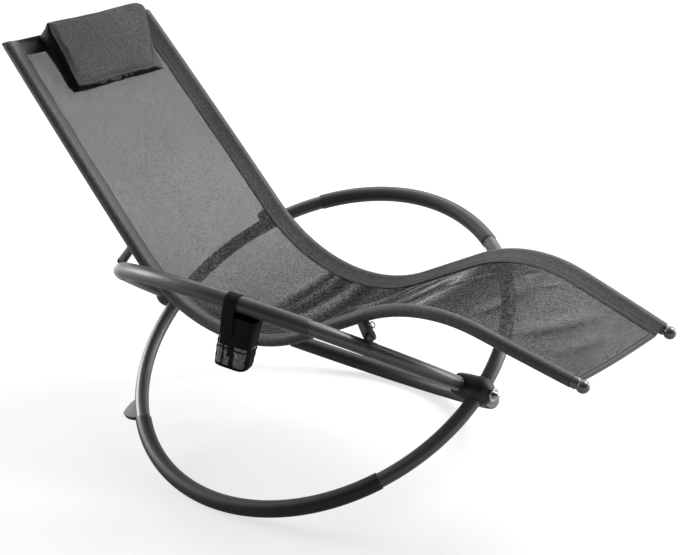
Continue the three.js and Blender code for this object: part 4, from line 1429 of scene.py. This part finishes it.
def pouchStrap():
    half, edge = strap["width"] / 2, strap["edge"]
    path = strapPath()
    outline = [(-half, -0.9), (edge - half, -1), (half - edge, -1), (half, -0.9),
               (half, 0.9), (half - edge, 1), (edge - half, 1), (-half, 0.9)]

    def place(row, share):
        before, after = path[max(row - 1, 0)], path[min(row + 1, len(path) - 1)]
        run = (after - before).normalized()
        x, face = outline[round(share * 8) % 8]
        point = path[row] + Vector((run.y, -run.x)) * (face * strap["thickness"] / 2)
        return pouchPlace @ Vector((x + strap["along"], point.x, point.y))

    return capped(wrapped("pouchStrap", 8, list(range(len(path))), place))


finished(pouchStrap(), "pouch", "pouch", ["pouch_strap"])
print("pouch ready")


# Camera, light and floor
camera = {"place": Vector((2.145, -2.4108, 1.3715)), "yaw": 40.56, "pitch": 20.88, "roll": -1.33, "lens": 86.58,
          "sensor": 36, "shift": (-0.3 / 680, -1.05 / 680)}
lights = {
    "key": {"place": (1.5, 1.75, 2.65), "target": (0.05, 0, 0.35), "size": (1.7, 1.7), "power": 96},
    "backRim": {"place": (-1.3, 1.8, 2.6), "target": (0, 0, 0.4), "size": (3.0, 0.4), "power": 22},
    "leftBank": {"place": (-3.7, -0.9, 1.5), "target": (0, 0, 0.4), "size": (1.8, 2.0), "power": 95},
    "rightBank": {"place": (2.4, 3.3, 1.1), "target": (0, 0, 0.4), "size": (2.2, 2.0), "power": 60},
}


def photoCamera():
    made = bpy.data.objects.new("camera", bpy.data.cameras.new("camera"))
    bpy.context.scene.collection.objects.link(made)
    yaw, pitch, roll = (camera[key] * degree for key in ("yaw", "pitch", "roll"))
    ahead = Vector((-math.sin(yaw) * math.cos(pitch), math.cos(yaw) * math.cos(pitch), -math.sin(pitch)))
    right = Vector((math.cos(yaw), math.sin(yaw), 0))
    above = right.cross(ahead)
    level = right * math.cos(roll) + above * math.sin(roll)
    upright = above * math.cos(roll) - right * math.sin(roll)
    turn = Matrix((level, upright, -ahead)).transposed().to_4x4()
    made.matrix_world = Matrix.Translation(axle + camera["place"]) @ turn
    made.data.lens = camera["lens"]
    made.data.sensor_width = camera["sensor"]
    made.data.shift_x, made.data.shift_y = camera["shift"]
    bpy.context.scene.camera = made


def softLight(name, settings):
    place, target = Vector(settings["place"]), Vector(settings["target"])
    data = bpy.data.lights.new(name, "AREA")
    data.shape = "RECTANGLE"
    data.size, data.size_y = settings["size"]
    data.energy = settings["power"]
    light = bpy.data.objects.new(name, data)
    bpy.context.scene.collection.objects.link(light)
    light.location = place
    light.rotation_euler = (target - place).to_track_quat("-Z", "Y").to_euler()


# White to the camera and through the mesh, a bright card for reflections, and a faint fill for all else.
def studioWorld():
    shader = Shader(bpy.data.worlds.new("studio"), "Background", Color=(1, 1, 1, 1))
    facing = shader.node("VectorMath", {0: shader.place("Generated"), 1: (0.63, -0.74, 0.2)}, "Value",
                         operation="DOT_PRODUCT")
    card = shader.ramp(facing, 1.0, 0.04, -0.3, 0.75, "LINEAR")
    glossy = (shader.ray("Glossy") * card).maths("MAXIMUM", 0.14)
    seen = shader.ray("Camera") + shader.ray("Transmission")
    bpy.context.scene.world = shader.give(Strength=seen.maths("MAXIMUM", glossy))


# Grey paper that glows to plain white a little way from the chair; in reflections the glow fades out near the chair, a
# painted shadow under it.
def studioFloor():
    floor = added("plane", "floor", size=40, location=(0, 0, -0.0005))
    shader = material("floorPaper", Roughness=0.9, Specular_IOR_Level=0.1, Emission_Strength=1)
    x, y, _ = shader.split(shader.place())
    away = (x * x + y * y).maths("SQRT")
    seen = shader.ray("Camera").maths("MAXIMUM", shader.ray("Glossy")).maths("MAXIMUM", shader.ray("Transmission"))
    # Painted shadow: in reflections, the floor's glow near the chair is taken away.
    reflectedShadow = shader.ray("Glossy") * shader.ramp(away, 0.8, 0.0, 0.7, 2.6)
    level = seen * shader.ramp(away, 0.69, 0.97, 0.7, 1.9) * (1 - reflectedShadow)
    paper = shader.mixed(shader.noise(0.6, 2.0), grey(0.37), grey(0.39))
    glow = shader.node("CombineColor", {0: level, 1: level, 2: level})
    floor.data.materials.append(shader.give(Base_Color=paper, Emission_Color=glow))


photoCamera()
studioWorld()
studioFloor()
for name, light in lights.items():
    softLight(name, light)
bpy.context.scene.view_settings.view_transform = "Standard"
print("scene ready")
